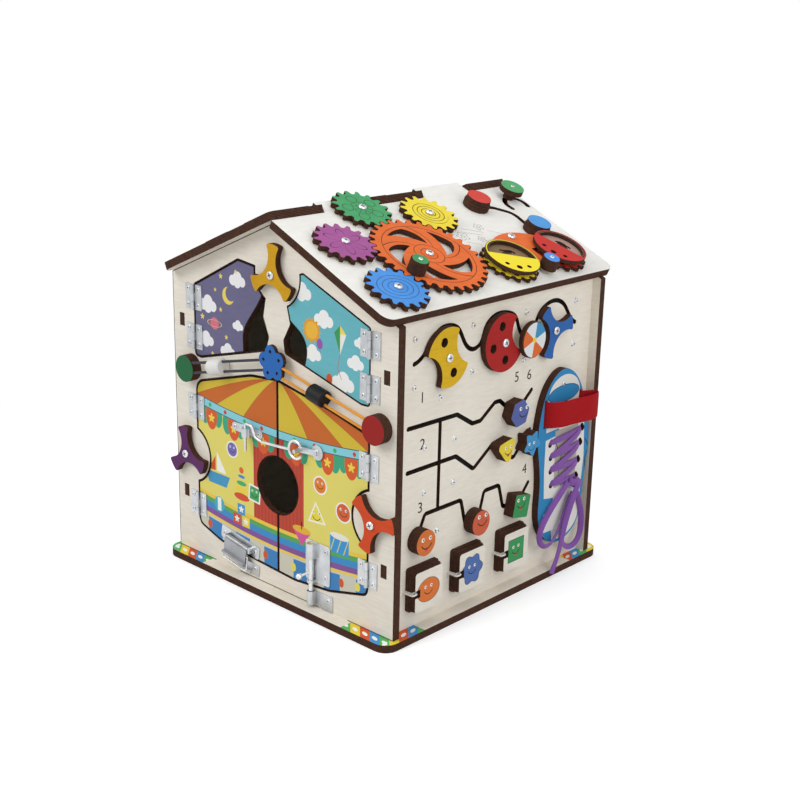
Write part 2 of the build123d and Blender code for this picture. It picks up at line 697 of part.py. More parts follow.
ring_plane = Plane(origin=(0, hook_y, 0), x_dir=(1, 0, 0), z_dir=(0, -1, 0))
ring_start = polar(HOOK_RING, HOOK_RING_R, 190)
with BuildPart() as cabin_hook:
    with BuildLine(ring_plane) as hook_route:
        FilletPolyline(
            (HOOK_AXIS[0], 148), (HOOK_AXIS[0], 176.9), (-31, 176.4), (-25.8, 166.0), (-16, 163.6),
            (12, 165.4), ring_start, radius=[3, 3, 4, 8, 8],
        )
    with BuildSketch(Plane(origin=hook_route.line @ 0, z_dir=hook_route.line % 0)):
        Circle(HOOK_WIRE_R)
    sweep()
    with BuildLine(ring_plane) as ring_route:
        CenterArc(HOOK_RING, HOOK_RING_R, 190, 135)
    with BuildSketch(Plane(origin=ring_route.line @ 0, z_dir=ring_route.line % 0)):
        Circle(HOOK_WIRE_R)
    sweep()
    with BuildLine(ring_plane) as upper_route:
        CenterArc(HOOK_RING, HOOK_RING_R, 190, -155)
    with BuildSketch(Plane(origin=upper_route.line @ 0, z_dir=upper_route.line % 0)):
        Circle(HOOK_WIRE_R)
    sweep()
save(cabin_hook, "cabin_hook")


# ---------------------------------------------------------------- toggle latch
with BuildPart() as latch_lever:
    with BuildSketch(across.offset(-LEVER_WIDTH / 2)):
        with Locations((LATCH_PIVOT_OFF, 0)):
            Circle(2.6)
        with Locations((LATCH_PIVOT_OFF + 0.2, 0)):
            Rectangle(3.4, LEVER_DROP, align=(Align.MIN, Align.MAX))
        with Locations((LATCH_PIVOT_OFF + 1.2, -LEVER_DROP)):
            Rectangle(5.0, 2.4, align=(Align.MIN, Align.MIN))
    extrude(amount=LEVER_WIDTH)
    with BuildSketch(across.offset(-LEVER_WIDTH / 2)):
        with Locations((BAIL_OFF, -BAIL_DROP)):
            Circle(BAIL_R + PIN_CLEARANCE)
    extrude(amount=LEVER_WIDTH, mode=Mode.SUBTRACT)
    with BuildSketch(across.offset(-LEVER_WIDTH / 2 - 3.5)):
        with Locations((LATCH_PIVOT_OFF, 0)):
            Circle(1.0)
    extrude(amount=LEVER_WIDTH + 7.0)
save(latch_lever, "latch_lever")

with BuildPart() as latch_bail:
    bail_plane = latch.offset(BAIL_OFF)
    with BuildLine(bail_plane) as bail_route:
        FilletPolyline(
            (-12, -BAIL_DROP), (-BAIL_REACH, -BAIL_DROP), (-BAIL_REACH, -24.5), (BAIL_REACH, -24.5),
            (BAIL_REACH, -BAIL_DROP), (12, -BAIL_DROP), radius=1.4,
        )
    with BuildSketch(Plane(origin=bail_route.line @ 0, z_dir=bail_route.line % 0)):
        Circle(BAIL_R)
    sweep()
save(latch_bail, "latch_bail")


# ---------------------------------------------------------------- barrel bolt
def bolt_guide(bottom, height, clearance=BOLT_CLEARANCE, foot=0.0):
    """A band round the bolt rod; with a foot it is an arch, open to the plate that it stands on."""
    with BuildPart() as guide:
        with BuildSketch(Plane.XY.offset(bottom)):
            with Locations((BOLT_AXIS[0], -GABLE_DEPTH / 2)):
                Rectangle(2 * BOLT_AXIS[1], BOLT_AXIS[1], align=(Align.CENTER, Align.MAX))
            with Locations((BOLT_AXIS[0], -GABLE_DEPTH / 2 - BOLT_AXIS[1])):
                Circle(BOLT_AXIS[1])
                Circle(BOLT_R + clearance, mode=Mode.SUBTRACT)
            if foot:
                with Locations((BOLT_AXIS[0], -GABLE_DEPTH / 2)):
                    Rectangle(4 * BOLT_AXIS[1], 2 * foot, mode=Mode.SUBTRACT)
                    Rectangle(
                        2 * (BOLT_R + clearance), BOLT_AXIS[1], align=(Align.CENTER, Align.MAX), mode=Mode.SUBTRACT
                    )
        extrude(amount=height)
    return guide.part


with BuildPart() as lower_right_fittings:
    for height in LOWER_HINGES:
        add(hinge(height, 1, moving=True))
    with BuildSketch(front):
        with Locations((58, (BOLT_PLATE_TOP + LOWER_GUIDE) / 2)):
            RectangleRounded(34, BOLT_PLATE_TOP - LOWER_GUIDE, 3)
    extrude(amount=1.0)
    add(bolt_guide(60, 16))
    add(bolt_guide(LOWER_GUIDE, LOWER_GUIDE_HEIGHT))
    with BuildSketch(front):
        with Locations((58, 170)):
            Circle(7.5)
    extrude(amount=2.0)
    with BuildSketch(front.offset(2)):
        with Locations((46, 169)):
            SlotOverall(26, 6, rotation=4)
    extrude(amount=2.0)
    with BuildSketch(front.offset(4)):
        with Locations((36, 168)):
            Circle(2.0)
    extrude(amount=8.0)
save(lower_right_fittings, "lower_right_fittings")

with BuildPart() as bolt_rod:
    with BuildSketch(Plane.XY.offset(BOLT_END)):
        with Locations((BOLT_AXIS[0], -GABLE_DEPTH / 2 - BOLT_AXIS[1])):
            Circle(BOLT_R)
    extrude(amount=BOLT_TOP - BOLT_END)
    arm_foot = Vector(BOLT_AXIS[0], -GABLE_DEPTH / 2 - BOLT_AXIS[1], 45.7)
    arm_end = Vector(BOLT_AXIS[0] - 6.5, -GABLE_DEPTH / 2 - 14, 41.5)
    with BuildSketch(Plane(origin=arm_foot, z_dir=arm_end - arm_foot)):
        Circle(1.4)
    extrude(amount=(arm_end - arm_foot).length)
    with Locations(arm_end):
        Sphere(3.4)
save(bolt_rod, "bolt_rod")

with BuildPart() as wall_fittings:
    for hand in (-1, 1):
        for height in (*LOWER_HINGES, *UPPER_HINGES):
            add(hinge(height, hand, moving=False))
    with BuildSketch(front):
        with Locations((62.5, 17)):
            RectangleRounded(33, 16.5, 2)
    extrude(amount=KEEPER_PLATE)
    add(bolt_guide(KEEPER_TOP - KEEPER_HEIGHT, KEEPER_HEIGHT, KEEPER_CLEARANCE, KEEPER_PLATE + RIVET_GAP))
    strike = Plane(
        origin=(-46, -GABLE_DEPTH / 2, 18.5), x_dir=(cos(radians(-4.4)), 0, sin(radians(-4.4))), z_dir=(0, -1, 0)
    )
    with BuildSketch(strike):
        RectangleRounded(34, 13, 2)
    extrude(amount=1.2)
    with BuildSketch(strike.offset(1.2)):
        with Locations((-4, -3)):
            Rectangle(20, 3)
    extrude(amount=2.4)
save(wall_fittings, "wall_fittings")


# ---------------------------------------------------------------- front turn buttons
for turner_name, centre, reach, arms in (
    ("yellow_turner", TOP_TURNER, 29.8, (85, 205, 325)),
    ("purple_turner", LEFT_TURNER, TURNER_REACH, (99, 219, 339)),
    ("orange_turner", RIGHT_TURNER, TURNER_REACH, (133, 13, 253)),
):
    with BuildPart() as turner:
        with BuildSketch(front.offset(seat)):
            add(turner_sketch(centre, reach, arms))
        extrude(amount=TURNER_PLY)
    save(turner, turner_name)


# ---------------------------------------------------------------- elastics
def strand_run(start, end, reach_back):
    """Plane at the start of an elastic pair and its length; local Y lies along the wall."""
    run = Vector(end[0] - start[0], 0, end[1] - start[1])
    direction = run.normalized()
    origin = Vector(start[0], -GABLE_DEPTH / 2 - STRAND_OFF, start[1]) - direction * reach_back
    return Plane(origin=origin, x_dir=(0, -1, 0), z_dir=direction), run.length + reach_back


with BuildPart() as elastics:
    for start, end in ((GREEN_DISC, NAVY_END), (RED_DISC, ORANGE_END)):
        plane, length = strand_run(start, end, 8.0)
        with BuildSketch(plane):
            with Locations((0, -STRAND_SPREAD), (0, STRAND_SPREAD)):
                Circle(STRAND_R)
        extrude(amount=length)
save(elastics, "elastics")

with BuildPart() as elastic_anchors:
    with BuildSketch(front):
        with Locations(GREEN_DISC, RED_DISC):
            Circle(DISC_R)
    extrude(amount=DISC_THICK)
    with BuildSketch(front):
        with Locations(FLOWER):
            Circle(8)
    extrude(amount=FLOWER_FOOT)
    with BuildSketch(front.offset(FLOWER_FOOT)) as petals:
        with Locations(FLOWER):
            Circle(10)
        for petal in range(5):
            with Locations(polar(FLOWER, FLOWER_R - 7.5, 26 + 72 * petal)):
                Circle(7.5)
        fillet(petals.vertices(), 1.5)
        for petal in range(5):
            with Locations(polar(FLOWER, 11.5, 26 + 72 * petal)):
                Circle(1.7, mode=Mode.SUBTRACT)
    extrude(amount=FLOWER_PLY)
    add(elastics.part, mode=Mode.SUBTRACT)
save(elastic_anchors, "elastic_anchors")

for bead_name, start, end in (("white_bead", GREEN_DISC, NAVY_END), ("black_bead", RED_DISC, ORANGE_END)):
    along = abs((BEAD_X[bead_name] - start[0]) / (end[0] - start[0])) * hypot(end[0] - start[0], end[1] - start[1])
    plane, length = strand_run(start, end, 0)
    with BuildPart() as bead:
        with BuildSketch(plane.offset(along - BEAD_LENGTH / 2)):
            Circle(BEAD_R)
            with Locations((0, -STRAND_SPREAD), (0, STRAND_SPREAD)):
                Circle(STRAND_R + STRAND_CLEARANCE, mode=Mode.SUBTRACT)
        extrude(amount=BEAD_LENGTH)
        chamfer(bead.edges().filter_by(GeomType.CIRCLE).sort_by(SortBy.RADIUS)[-2:], 1.2)
    save(bead, bead_name)


# ---------------------------------------------------------------- gear train
with BuildPart() as big_gear:
    with BuildSketch(roof.offset(seat)):
        with BuildLine():
            Polyline(*gear_outline(BIG_GEAR, BIG_TEETH, BIG_PITCH_R, 0), close=True)
        make_face()
        with Locations(BIG_GEAR):
            Circle(SHANK_R + SHANK_CLEARANCE, mode=Mode.SUBTRACT)
    extrude(amount=GEAR_PLY)
    for window in range(5):
        turn = WINDOW_START + 72 * window
        with BuildSketch(roof.offset(seat)):
            with BuildLine():
                ThreePointArc(
                    polar(BIG_GEAR, WINDOW_INNER_R, turn), polar(BIG_GEAR, 32, turn + 14.5),
                    polar(BIG_GEAR, WINDOW_OUTER_R, turn + 34),
                )
                ThreePointArc(
                    polar(BIG_GEAR, WINDOW_OUTER_R, turn + 34), polar(BIG_GEAR, WINDOW_OUTER_R, turn + 52),
                    polar(BIG_GEAR, WINDOW_OUTER_R, turn + 70),
                )
                ThreePointArc(
                    polar(BIG_GEAR, WINDOW_OUTER_R, turn + 70), polar(BIG_GEAR, 31, turn + 47),
                    polar(BIG_GEAR, WINDOW_INNER_R, turn),
                )
            make_face()
        extrude(amount=GEAR_PLY, mode=Mode.SUBTRACT)
    with BuildSketch(roof.offset(seat + GEAR_PLY)):
        with Locations(polar(BIG_GEAR, *CRANK_AT)):
            Circle(CRANK_R)
    extrude(amount=CRANK_HEIGHT)
    chamfer(big_gear.faces().sort_by(Axis(roof.origin, roof.z_dir))[-1].edges(), 1.0)
save(big_gear, "big_gear")

for gear_name, bearing in GEAR_BEARINGS.items():
    tooth_pitch = 360 / BIG_TEETH
    lag = bearing - round(bearing / tooth_pitch) * tooth_pitch
    phase = bearing + 180 + 2 * lag + 180 / SMALL_TEETH
    with BuildPart() as small_gear:
        with BuildSketch(roof.offset(seat)):
            with BuildLine():
                Polyline(*gear_outline(gear_places[gear_name], SMALL_TEETH, small_pitch_r, phase), close=True)
            make_face()
            with Locations(gear_places[gear_name]):
                Circle(SHANK_R + SHANK_CLEARANCE, mode=Mode.SUBTRACT)
        extrude(amount=GEAR_PLY)
    save(small_gear, gear_name)


# ---------------------------------------------------------------- ladybird wheels
def wheel(centre, facing):
    """A toothed base, a hub, a floor and a rimmed cap with a half-moon window, glued with thin joints."""
    floor_top = WHEEL_FLOOR_OFF + WHEEL_FLOOR_PLY
    with BuildPart() as body:
        with BuildSketch(roof.offset(seat)):
            with BuildLine():
                Polyline(*gear_outline(centre, SMALL_TEETH, small_pitch_r, facing), close=True)
            make_face()
            with Locations(centre):
                Circle(SHANK_R + SHANK_CLEARANCE, mode=Mode.SUBTRACT)
        extrude(amount=WHEEL_PLY)
        with BuildSketch(roof.offset(seat + WHEEL_PLY + WHEEL_GLUE)):
            with Locations(centre):
                Circle(WHEEL_HUB_R)
                Circle(HEAD_R + 0.5, mode=Mode.SUBTRACT)
        extrude(amount=WHEEL_FLOOR_OFF - seat - WHEEL_PLY - 2 * WHEEL_GLUE)
        with BuildSketch(roof.offset(WHEEL_FLOOR_OFF)):
            with Locations(centre):
                Circle(WHEEL_FLOOR_R)
        extrude(amount=WHEEL_FLOOR_PLY)
        with BuildSketch(roof.offset(floor_top)):
            with Locations(centre):
                Circle(WHEEL_CAP_R)
        extrude(amount=WHEEL_CAP_PLY)
        with BuildSketch(roof.offset(floor_top)):
            with Locations(centre):
                Circle(WHEEL_WINDOW_R)
            with Locations(Location((centre[0], centre[1], 0), (0, 0, facing))):
                Rectangle(60, 60, align=(Align.MIN, Align.CENTER), mode=Mode.SUBTRACT)
        extrude(amount=WHEEL_CAP_PLY, mode=Mode.SUBTRACT)
        with BuildSketch(roof.offset(floor_top)):
            for spread in (-35, 0, 35):
                with Locations(polar(centre, 21.0, facing + spread)):
                    Circle(3.2 if spread == 0 else 2.4)
        extrude(amount=WHEEL_CAP_PLY, mode=Mode.SUBTRACT)
        with BuildSketch(roof.offset(floor_top - 1.2)):
            with Locations(Location((*polar(centre, 12.5, facing + 180), 0), (0, 0, facing + 90))):
                SlotOverall(18, 6)
        extrude(amount=2, mode=Mode.SUBTRACT)
    return body


YELLOW_FACING = -117.8
RED_FACING = -160.0
yellow_wheel = wheel(YELLOW_WHEEL, YELLOW_FACING)
save(yellow_wheel, "yellow_wheel")
red_wheel = wheel(RED_WHEEL, RED_FACING)
save(red_wheel, "red_wheel")

with BuildPart() as rocker:
    with BuildSketch(roof.offset(ROCKER_OFF)) as rocker_outline:
        with BuildLine():
            ThreePointArc((33, -112), (72.7, -97.5), (112, -114))
            Polyline((112, -114), (112, -128), (33, -128), (33, -112))
        make_face()
        with Locations(YELLOW_WHEEL, RED_WHEEL):
            Circle(WHEEL_FLOOR_R - 0.5, mode=Mode.SUBTRACT)
        with Locations(((ROCKER_PIVOT[0] + ROCKER_KNOB[0]) / 2, -135)):
            Rectangle(ROCKER_ARM, 46)
        with Locations(ROCKER_KNOB):
            Circle(ROCKER_KNOB_R)
        with Locations(ROCKER_PIVOT):
            Circle(SHANK_R + SHANK_CLEARANCE, mode=Mode.SUBTRACT)
    extrude(amount=ROCKER_PLY)
    with BuildSketch(roof.offset(ROCKER_OFF + ROCKER_PLY)):
        with Locations(ROCKER_KNOB):
            Circle(ROCKER_KNOB_R)
    extrude(amount=ROCKER_KNOB_HEIGHT)
    chamfer(rocker.faces().sort_by(Axis(roof.origin, roof.z_dir))[-1].edges(), 0.8)
save(rocker, "rocker")


# ---------------------------------------------------------------- screws
with BuildPart() as screws:
    for centre in front_pivots:
        add(pivot(front, centre, seat + TURNER_PLY))
    for centre in spinner_places:
        add(pivot(side, centre, seat + SPINNER_PLY))
    for centre in (BIG_GEAR, *gear_places.values()):
        add(pivot(roof, centre, seat + GEAR_PLY))
    for centre in (YELLOW_WHEEL, RED_WHEEL):
        add(pivot(roof, centre, seat + WHEEL_PLY))
    add(pivot(roof, ROCKER_PIVOT, ROCKER_OFF + ROCKER_PLY, foot=ROCKER_OFF - RUNNING_GAP))
    with BuildSketch(side):
        with Locations(*PANEL_SCREWS):
            Circle(PANEL_SCREW_R)
    extrude(amount=1.2, taper=30)
save(screws, "screws")


# ---------------------------------------------------------------- roof sliders
def puck(centre):
    """A round knob of two plies with a peg that runs in the roof track."""
    with BuildPart() as knob:
        with BuildSketch(roof.offset(PUCK_OFF)):
            with Locations(centre):
                Circle(PUCK_FOOT_R)
        extrude(amount=PUCK_PLY)
        with BuildSketch(roof.offset(PUCK_OFF + PUCK_PLY)):
            with Locations(centre):
                Circle(PUCK_R)
        extrude(amount=PUCK_PLY)
        with BuildSketch(roof.offset(PUCK_OFF)):
            with Locations(centre):
                Circle(TRACK_PEG_R)
        extrude(amount=-TRACK_DEPTH)
    return knob


def on_run(start, end, distance):
    """The point at a distance from the start of a straight run."""
    share = distance / hypot(end[0] - start[0], end[1] - start[1])
    return (start[0] + share * (end[0] - start[0]), start[1] + share * (end[1] - start[1]))


save(puck(on_run(TRACK[0], TRACK[1], 0.4)), "red_puck")
save(puck(on_run(TRACK[3], TRACK[2], 2.0)), "blue_puck")

with BuildPart() as green_puck:
    with BuildSketch(roof.offset(PUCK_OFF)):
        with Locations(polar(ARCH_CENTRE, ARCH_R, 90)):
            Circle(6)
    extrude(amount=8.0)
    with BuildSketch(roof.offset(PUCK_OFF + 8.0)):
        with Locations(polar(ARCH_CENTRE, ARCH_R, 90)):
            Circle(PUCK_R)
    extrude(amount=PUCK_PLY)
    with BuildSketch(roof.offset(PUCK_OFF)):
        with Locations(polar(ARCH_CENTRE, ARCH_R, 90)):
            Circle(TRACK_PEG_R)
    extrude(amount=-TRACK_DEPTH)
save(green_puck, "green_puck")


# ---------------------------------------------------------------- maze sliders
def star(centre, outer, inner, points, turn):
    """Corner points of a star."""
    corners = []
    for corner in range(2 * points):
        corners.append(polar(centre, outer if corner % 2 == 0 else inner, turn + corner * 180 / points))
    return corners


def maze_slider(name, centre, kind, turn):
    """A thick face-shaped slider with a peg in its groove."""
    with BuildPart() as slider:
        with BuildSketch(side.offset(SLIDER_OFF)) as outline:
            if kind == "circle":
                with Locations(centre):
                    Circle(SLIDER_R - 0.5)
            elif kind == "star":
                with BuildLine():
                    Polyline(*star(centre, 15.5, 8.8, 5, turn), close=True)
                make_face()
                fillet(outline.vertices(), 2.2)
            else:
                sides, size, corner = kind
                with Locations(Location((centre[0], centre[1], 0), (0, 0, turn))):
                    RegularPolygon(size, sides)
                fillet(outline.vertices(), corner)
        extrude(amount=SLIDER_PLY)
        with BuildSketch(side.offset(SLIDER_OFF)):
            with Locations(centre):
                Circle(PEG_R)
        extrude(amount=-PEG_DEPTH - SLIDER_OFF)
    save(slider, name)


maze_slider("blue_hexagon", on_run(GROOVE_TOP[6], GROOVE_TOP[5], 3.0), (6, 14.5, 2.0), 10)
maze_slider("yellow_triangle", on_run(GROOVE_MID[3], GROOVE_MID[4], 9.6), (3, 18.0, 4.5), 40)
maze_slider("blue_star", on_run(GROOVE_MID[4], GROOVE_MID[5], 21.2), "star", 60)
maze_slider("orange_circle", on_run(GROOVE_LOW[0], GROOVE_LOW[1], 2.3), "circle", 0)
maze_slider("red_circle", (-34.4, GROOVE_LOW[3][1]), "circle", 0)
maze_slider("green_square", (29.5, GROOVE_LOW[7][1]), (4, 17.0, 2.0), 33)


# ---------------------------------------------------------------- maze spinners
with BuildPart() as yellow_spinner:
    with BuildSketch(side.offset(seat)) as yellow_outline:
        with Locations(YELLOW_SPINNER):
            Circle(SPINNER_R)
        for bite in (20.6, 209):
            with Locations(polar(YELLOW_SPINNER, 36, bite)):
                Circle(23, mode=Mode.SUBTRACT)
        fillet(yellow_outline.vertices(), 2)
        with Locations(polar(YELLOW_SPINNER, 17, 114), polar(YELLOW_SPINNER, 17, -65)):
            Circle(SPINNER_HOLE_R, mode=Mode.SUBTRACT)
        with Locations(YELLOW_SPINNER):
            Circle(SHANK_R + SHANK_CLEARANCE, mode=Mode.SUBTRACT)
    extrude(amount=SPINNER_PLY)
save(yellow_spinner, "yellow_spinner")

with BuildPart() as red_spinner:
    with BuildSketch(side.offset(seat)) as red_outline:
        with Locations(RED_SPINNER):
            Circle(SPINNER_R)
        with Locations(polar(RED_SPINNER, 32, 15)):
            Circle(20, mode=Mode.SUBTRACT)
        fillet(red_outline.vertices(), 2)
        with Locations(*[polar(RED_SPINNER, 17.5, angle) for angle in (106, 190, 275)]):
            Circle(SPINNER_HOLE_R, mode=Mode.SUBTRACT)
        with Locations(RED_SPINNER):
            Circle(SHANK_R + SHANK_CLEARANCE, mode=Mode.SUBTRACT)
    extrude(amount=SPINNER_PLY)
save(red_spinner, "red_spinner")

with BuildPart() as blue_spinner:
    with BuildSketch(side.offset(seat)):
        add(turner_sketch(BLUE_SPINNER, SPINNER_R, (9, 129, 249)))
    extrude(amount=SPINNER_PLY)
save(blue_spinner, "blue_spinner")

with BuildPart() as ball_disc:
    with BuildSketch(side.offset(BALL_OFF)):
        with Locations(BALL):
            Circle(BALL_R)
    extrude(amount=BALL_PLY)
    chamfer(ball_disc.faces().sort_by(Axis.X)[-1].edges(), 1.0)
    with BuildSketch(side.offset(SLIDER_OFF)):
        with Locations(BALL):
            Circle(3.4)
    extrude(amount=BALL_OFF - SLIDER_OFF)
    with BuildSketch(side.offset(SLIDER_OFF)):
        with Locations(BALL):
            Circle(1.6)
    extrude(amount=-PEG_DEPTH - SLIDER_OFF)
save(ball_disc, "ball_disc")


# ---------------------------------------------------------------- flip cards
stack_top = 2 * CARD_PLY
cover_off = stack_top + 0.4
with BuildPart() as card_stacks:
    for left in CARD_LEFTS.values():
        with BuildSketch(side):
            with Locations((left, CARD_BOTTOM)):
                RectangleRounded(CARD_WIDTH, CARD_HEIGHT, 3, align=(Align.MIN, Align.MIN))
        extrude(amount=CARD_PLY)
        with BuildSketch(side.offset(CARD_PLY)):
            with Locations((left + 0.5, CARD_BOTTOM + 1.5)):
                RectangleRounded(CARD_WIDTH - 2, CARD_HEIGHT - 2.5, 3, align=(Align.MIN, Align.MIN))
        extrude(amount=CARD_PLY)
        tie_route = [
            (SIDE_FACE, left - 3, TIE_HEIGHT), (SIDE_FACE + 12, left - 3, TIE_HEIGHT),
            (SIDE_FACE + 12, left + 4, TIE_HEIGHT), (SIDE_FACE + stack_top, left + 4, TIE_HEIGHT),
        ]
        add(rope(tie_route, 2.0, TIE_R))
save(card_stacks, "card_stacks")

for card_name, left in CARD_LEFTS.items():
    cover_bottom = CARD_BOTTOM + 2.0
    with BuildPart() as cover:
        with BuildSketch(side.offset(cover_off)):
            with Locations((left + 0.5, cover_bottom)):
                RectangleRounded(COVER_WIDTH, COVER_HEIGHT, 3, align=(Align.MIN, Align.MIN))
            with Locations((left + 0.5, TIE_HEIGHT)):
                Rectangle(7, 8, align=(Align.MIN, Align.CENTER), mode=Mode.SUBTRACT)
        extrude(amount=COVER_PLY)
    save(cover, card_name)


# ---------------------------------------------------------------- shoe
def flat_slot(centre, length, width, turn):
    """A slot-shaped sketch for cutting."""
    with BuildSketch() as hole:
        with Locations(Location((centre[0], centre[1], 0), (0, 0, turn))):
            SlotOverall(length, width)
    return hole.sketch


with BuildPart() as shoe_plate:
    with BuildSketch(side):
        with BuildLine():
            Spline(*SHOE_OUTLINE, periodic=True)
        make_face()
        for slot_y in (STRAP_ROUTE[0][0], STRAP_ROUTE[-1][0]):
            with Locations((slot_y, STRAP_BOTTOM + STRAP_WIDTH / 2)):
                Rectangle(3.4, STRAP_WIDTH + 2, mode=Mode.SUBTRACT)
        for index, eyelet in enumerate(EYELETS):
            add(flat_slot(eyelet, 9.5, 6.5, 55 if index < 4 else -55), mode=Mode.SUBTRACT)
    extrude(amount=SHOE_PLY)
save(shoe_plate, "shoe_plate")

with BuildPart() as shoe_strap:
    with BuildSketch(Plane.XY.offset(STRAP_BOTTOM)):
        with BuildLine():
            Spline(*[(SIDE_FACE + off, y) for y, off in STRAP_ROUTE])
        trace(line_width=STRAP_THICK)
    extrude(amount=STRAP_WIDTH)
save(shoe_strap, "shoe_strap")

with BuildPart() as shoe_lace:
    with BuildSketch(side.offset(SHOE_PLY)):
        for start, end in ((0, 4), (1, 4), (1, 5), (2, 5), (2, 6), (3, 6), (3, 7)):
            a, b = EYELETS[start], EYELETS[end]
            turn = degrees(atan2(b[1] - a[1], b[0] - a[0]))
            middle = ((a[0] + b[0]) / 2, (a[1] + b[1]) / 2)
            add(flat_slot(middle, hypot(b[0] - a[0], b[1] - a[1]) + LACE_WIDTH, LACE_WIDTH, turn))
    extrude(amount=LACE_THICK)
    with BuildSketch(side.offset(SHOE_PLY)):
        with Locations(Location((KNOT[0] - 2, KNOT[1], 0), (0, 0, -20))):
            RectangleRounded(22, 16, 5)
    extrude(amount=KNOT_HEIGHT)
save(shoe_lace, "shoe_lace")

for cord_name, points in (
    ("lace_front_loop", LACE_FRONT_LOOP), ("lace_back_loop", LACE_BACK_LOOP), ("lace_tail", LACE_TAIL),
):
    world = [(SIDE_FACE + off, y, z) for off, y, z in points]
    with BuildPart() as lace:
        add(rope(world, bend_radii(world), LACE_R))
    save(lace, cord_name)
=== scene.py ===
"""The looks of a wooden busy house: plywood faces, printed doors, screws, elastics, strap and laces."""
import bpy
from math import atan2, cos, hypot, pi, radians, sin
from mathutils import Matrix, Vector


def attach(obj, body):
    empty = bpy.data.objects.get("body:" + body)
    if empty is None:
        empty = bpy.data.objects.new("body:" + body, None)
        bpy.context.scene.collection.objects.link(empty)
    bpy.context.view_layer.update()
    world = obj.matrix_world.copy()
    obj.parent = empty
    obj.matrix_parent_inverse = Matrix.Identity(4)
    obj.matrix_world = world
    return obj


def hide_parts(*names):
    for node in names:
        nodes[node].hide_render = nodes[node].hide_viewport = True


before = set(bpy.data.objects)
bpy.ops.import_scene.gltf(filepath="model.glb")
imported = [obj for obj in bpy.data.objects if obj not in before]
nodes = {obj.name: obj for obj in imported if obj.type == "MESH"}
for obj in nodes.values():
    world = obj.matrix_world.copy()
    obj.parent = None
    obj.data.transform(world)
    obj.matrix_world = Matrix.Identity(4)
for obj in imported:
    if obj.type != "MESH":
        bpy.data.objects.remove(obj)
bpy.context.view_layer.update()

# --- the flat faces of the house, in millimetres
MM = 0.001
RIDGE, EAVE, HALF_ROOF = 392, 320, 160
SLOPE = atan2(RIDGE - EAVE, HALF_ROOF)


class Face:
    """A flat face with its own across and up directions, and the way out of it."""

    def __init__(self, origin, across, up, out):
        self.origin, self.across, self.up, self.out = (Vector(v) for v in (origin, across, up, out))

    def at(self, p, q, off=0.0):
        return (self.origin + self.across * p + self.up * q + self.out * off) * MM

    def seat(self, p, q, off=0.0, turn=0.0):
        """The matrix that stands something on the face, turned by degrees."""
        c, s = cos(radians(turn)), sin(radians(turn))
        a, b = self.across * c + self.up * s, self.up * c - self.across * s
        matrix = Matrix((a, b, self.out)).transposed().to_4x4()
        matrix.translation = self.at(p, q, off)
        return matrix


FRONT = Face((0, -155, 0), (1, 0, 0), (0, 0, 1), (0, -1, 0))
BACK = Face((0, 155, 0), (-1, 0, 0), (0, 0, 1), (0, 1, 0))
SIDE = Face((150, 0, 0), (0, 1, 0), (0, 0, 1), (1, 0, 0))
LEFT = Face((-150, 0, 0), (0, -1, 0), (0, 0, 1), (-1, 0, 0))
ROOF = Face((0, 0, RIDGE), (0, 1, 0), (-cos(SLOPE), 0, sin(SLOPE)), (sin(SLOPE), 0, cos(SLOPE)))
FAR_ROOF = Face((0, 0, RIDGE), (0, -1, 0), (cos(SLOPE), 0, sin(SLOPE)), (-sin(SLOPE), 0, cos(SLOPE)))
BASE = Face((0, 0, 8), (1, 0, 0), (0, 1, 0), (0, 0, 1))


def polar(centre, reach, angle):
    return (centre[0] + reach * cos(radians(angle)), centre[1] + reach * sin(radians(angle)))


BIG_GEAR, GEAR_DISTANCE = (-51.0, -106.0), 85.95
BIG_GEAR_R, SMALL_GEAR_R = 57.3, 28.6
SMALL_GEARS = {
    name: polar(BIG_GEAR, GEAR_DISTANCE, bearing)
    for name, bearing in (("blue_gear", -155.0), ("purple_gear", 153.1), ("green_gear", 98.3), ("yellow_gear", 45.0))
}
YELLOW_WHEEL, RED_WHEEL, ROCKER_PIVOT, ROCKER_KNOB = (34.5, -139.0), (111.5, -139.0), (73.0, -105.0), (73.0, -158.0)
SPINNERS = ((-85.0, 270.8), (-3.5, 270.3), (77.3, 268.4))
TURNERS = ((0.0, 333.5), (-136.5, 120.2), (135.6, 120.6))

# --- camera
bpy.ops.object.camera_add()
camera = bpy.context.object
camera.name = "camera"
sight = Matrix(((0.728176, 0.685083, 0.02054), (-0.219526, 0.204735, 0.953883), (0.649283, -0.699103, 0.299476)))
camera.matrix_world = Matrix.Translation((0.93371, -0.9858, 0.60219)) @ sight.transposed().to_4x4()
camera.data.lens = 60.48
camera.data.sensor_width = 36.0
camera.data.clip_start = 0.01
bpy.context.scene.camera = camera
bpy.context.scene.view_settings.view_transform = "Standard"


# --- finishes
def taking(operation):
    """A method that puts a wire and one more socket or number through an operation."""
    return lambda wire, other: wire.maths(operation, other)


class Wire:
    """A shader socket that takes sums, products and comparisons."""

    def __init__(self, finish, socket):
        self.finish, self.socket = finish, socket

    def maths(self, operation, *others, clamp=False):
        return self.finish.node("ShaderNodeMath", {"operation": operation, "use_clamp": clamp}, [self, *others])

    def __rsub__(self, other):
        return self.finish.node("ShaderNodeMath", {"operation": "SUBTRACT"}, [other, self])

    def __abs__(self):
        return self.maths("ABSOLUTE")

    def clamped(self):
        return self.maths("ADD", 0.0, clamp=True)

    def sine(self):
        return self.maths("SINE")

    __add__ = __radd__ = taking("ADD")
    __mul__ = __rmul__ = taking("MULTIPLY")
    __sub__, __truediv__ = taking("SUBTRACT"), taking("DIVIDE")
    __mod__, __pow__ = taking("FLOORED_MODULO"), taking("POWER")
    __gt__, __lt__ = taking("GREATER_THAN"), taking("LESS_THAN")
    at_least, at_most = taking("MAXIMUM"), taking("MINIMUM")


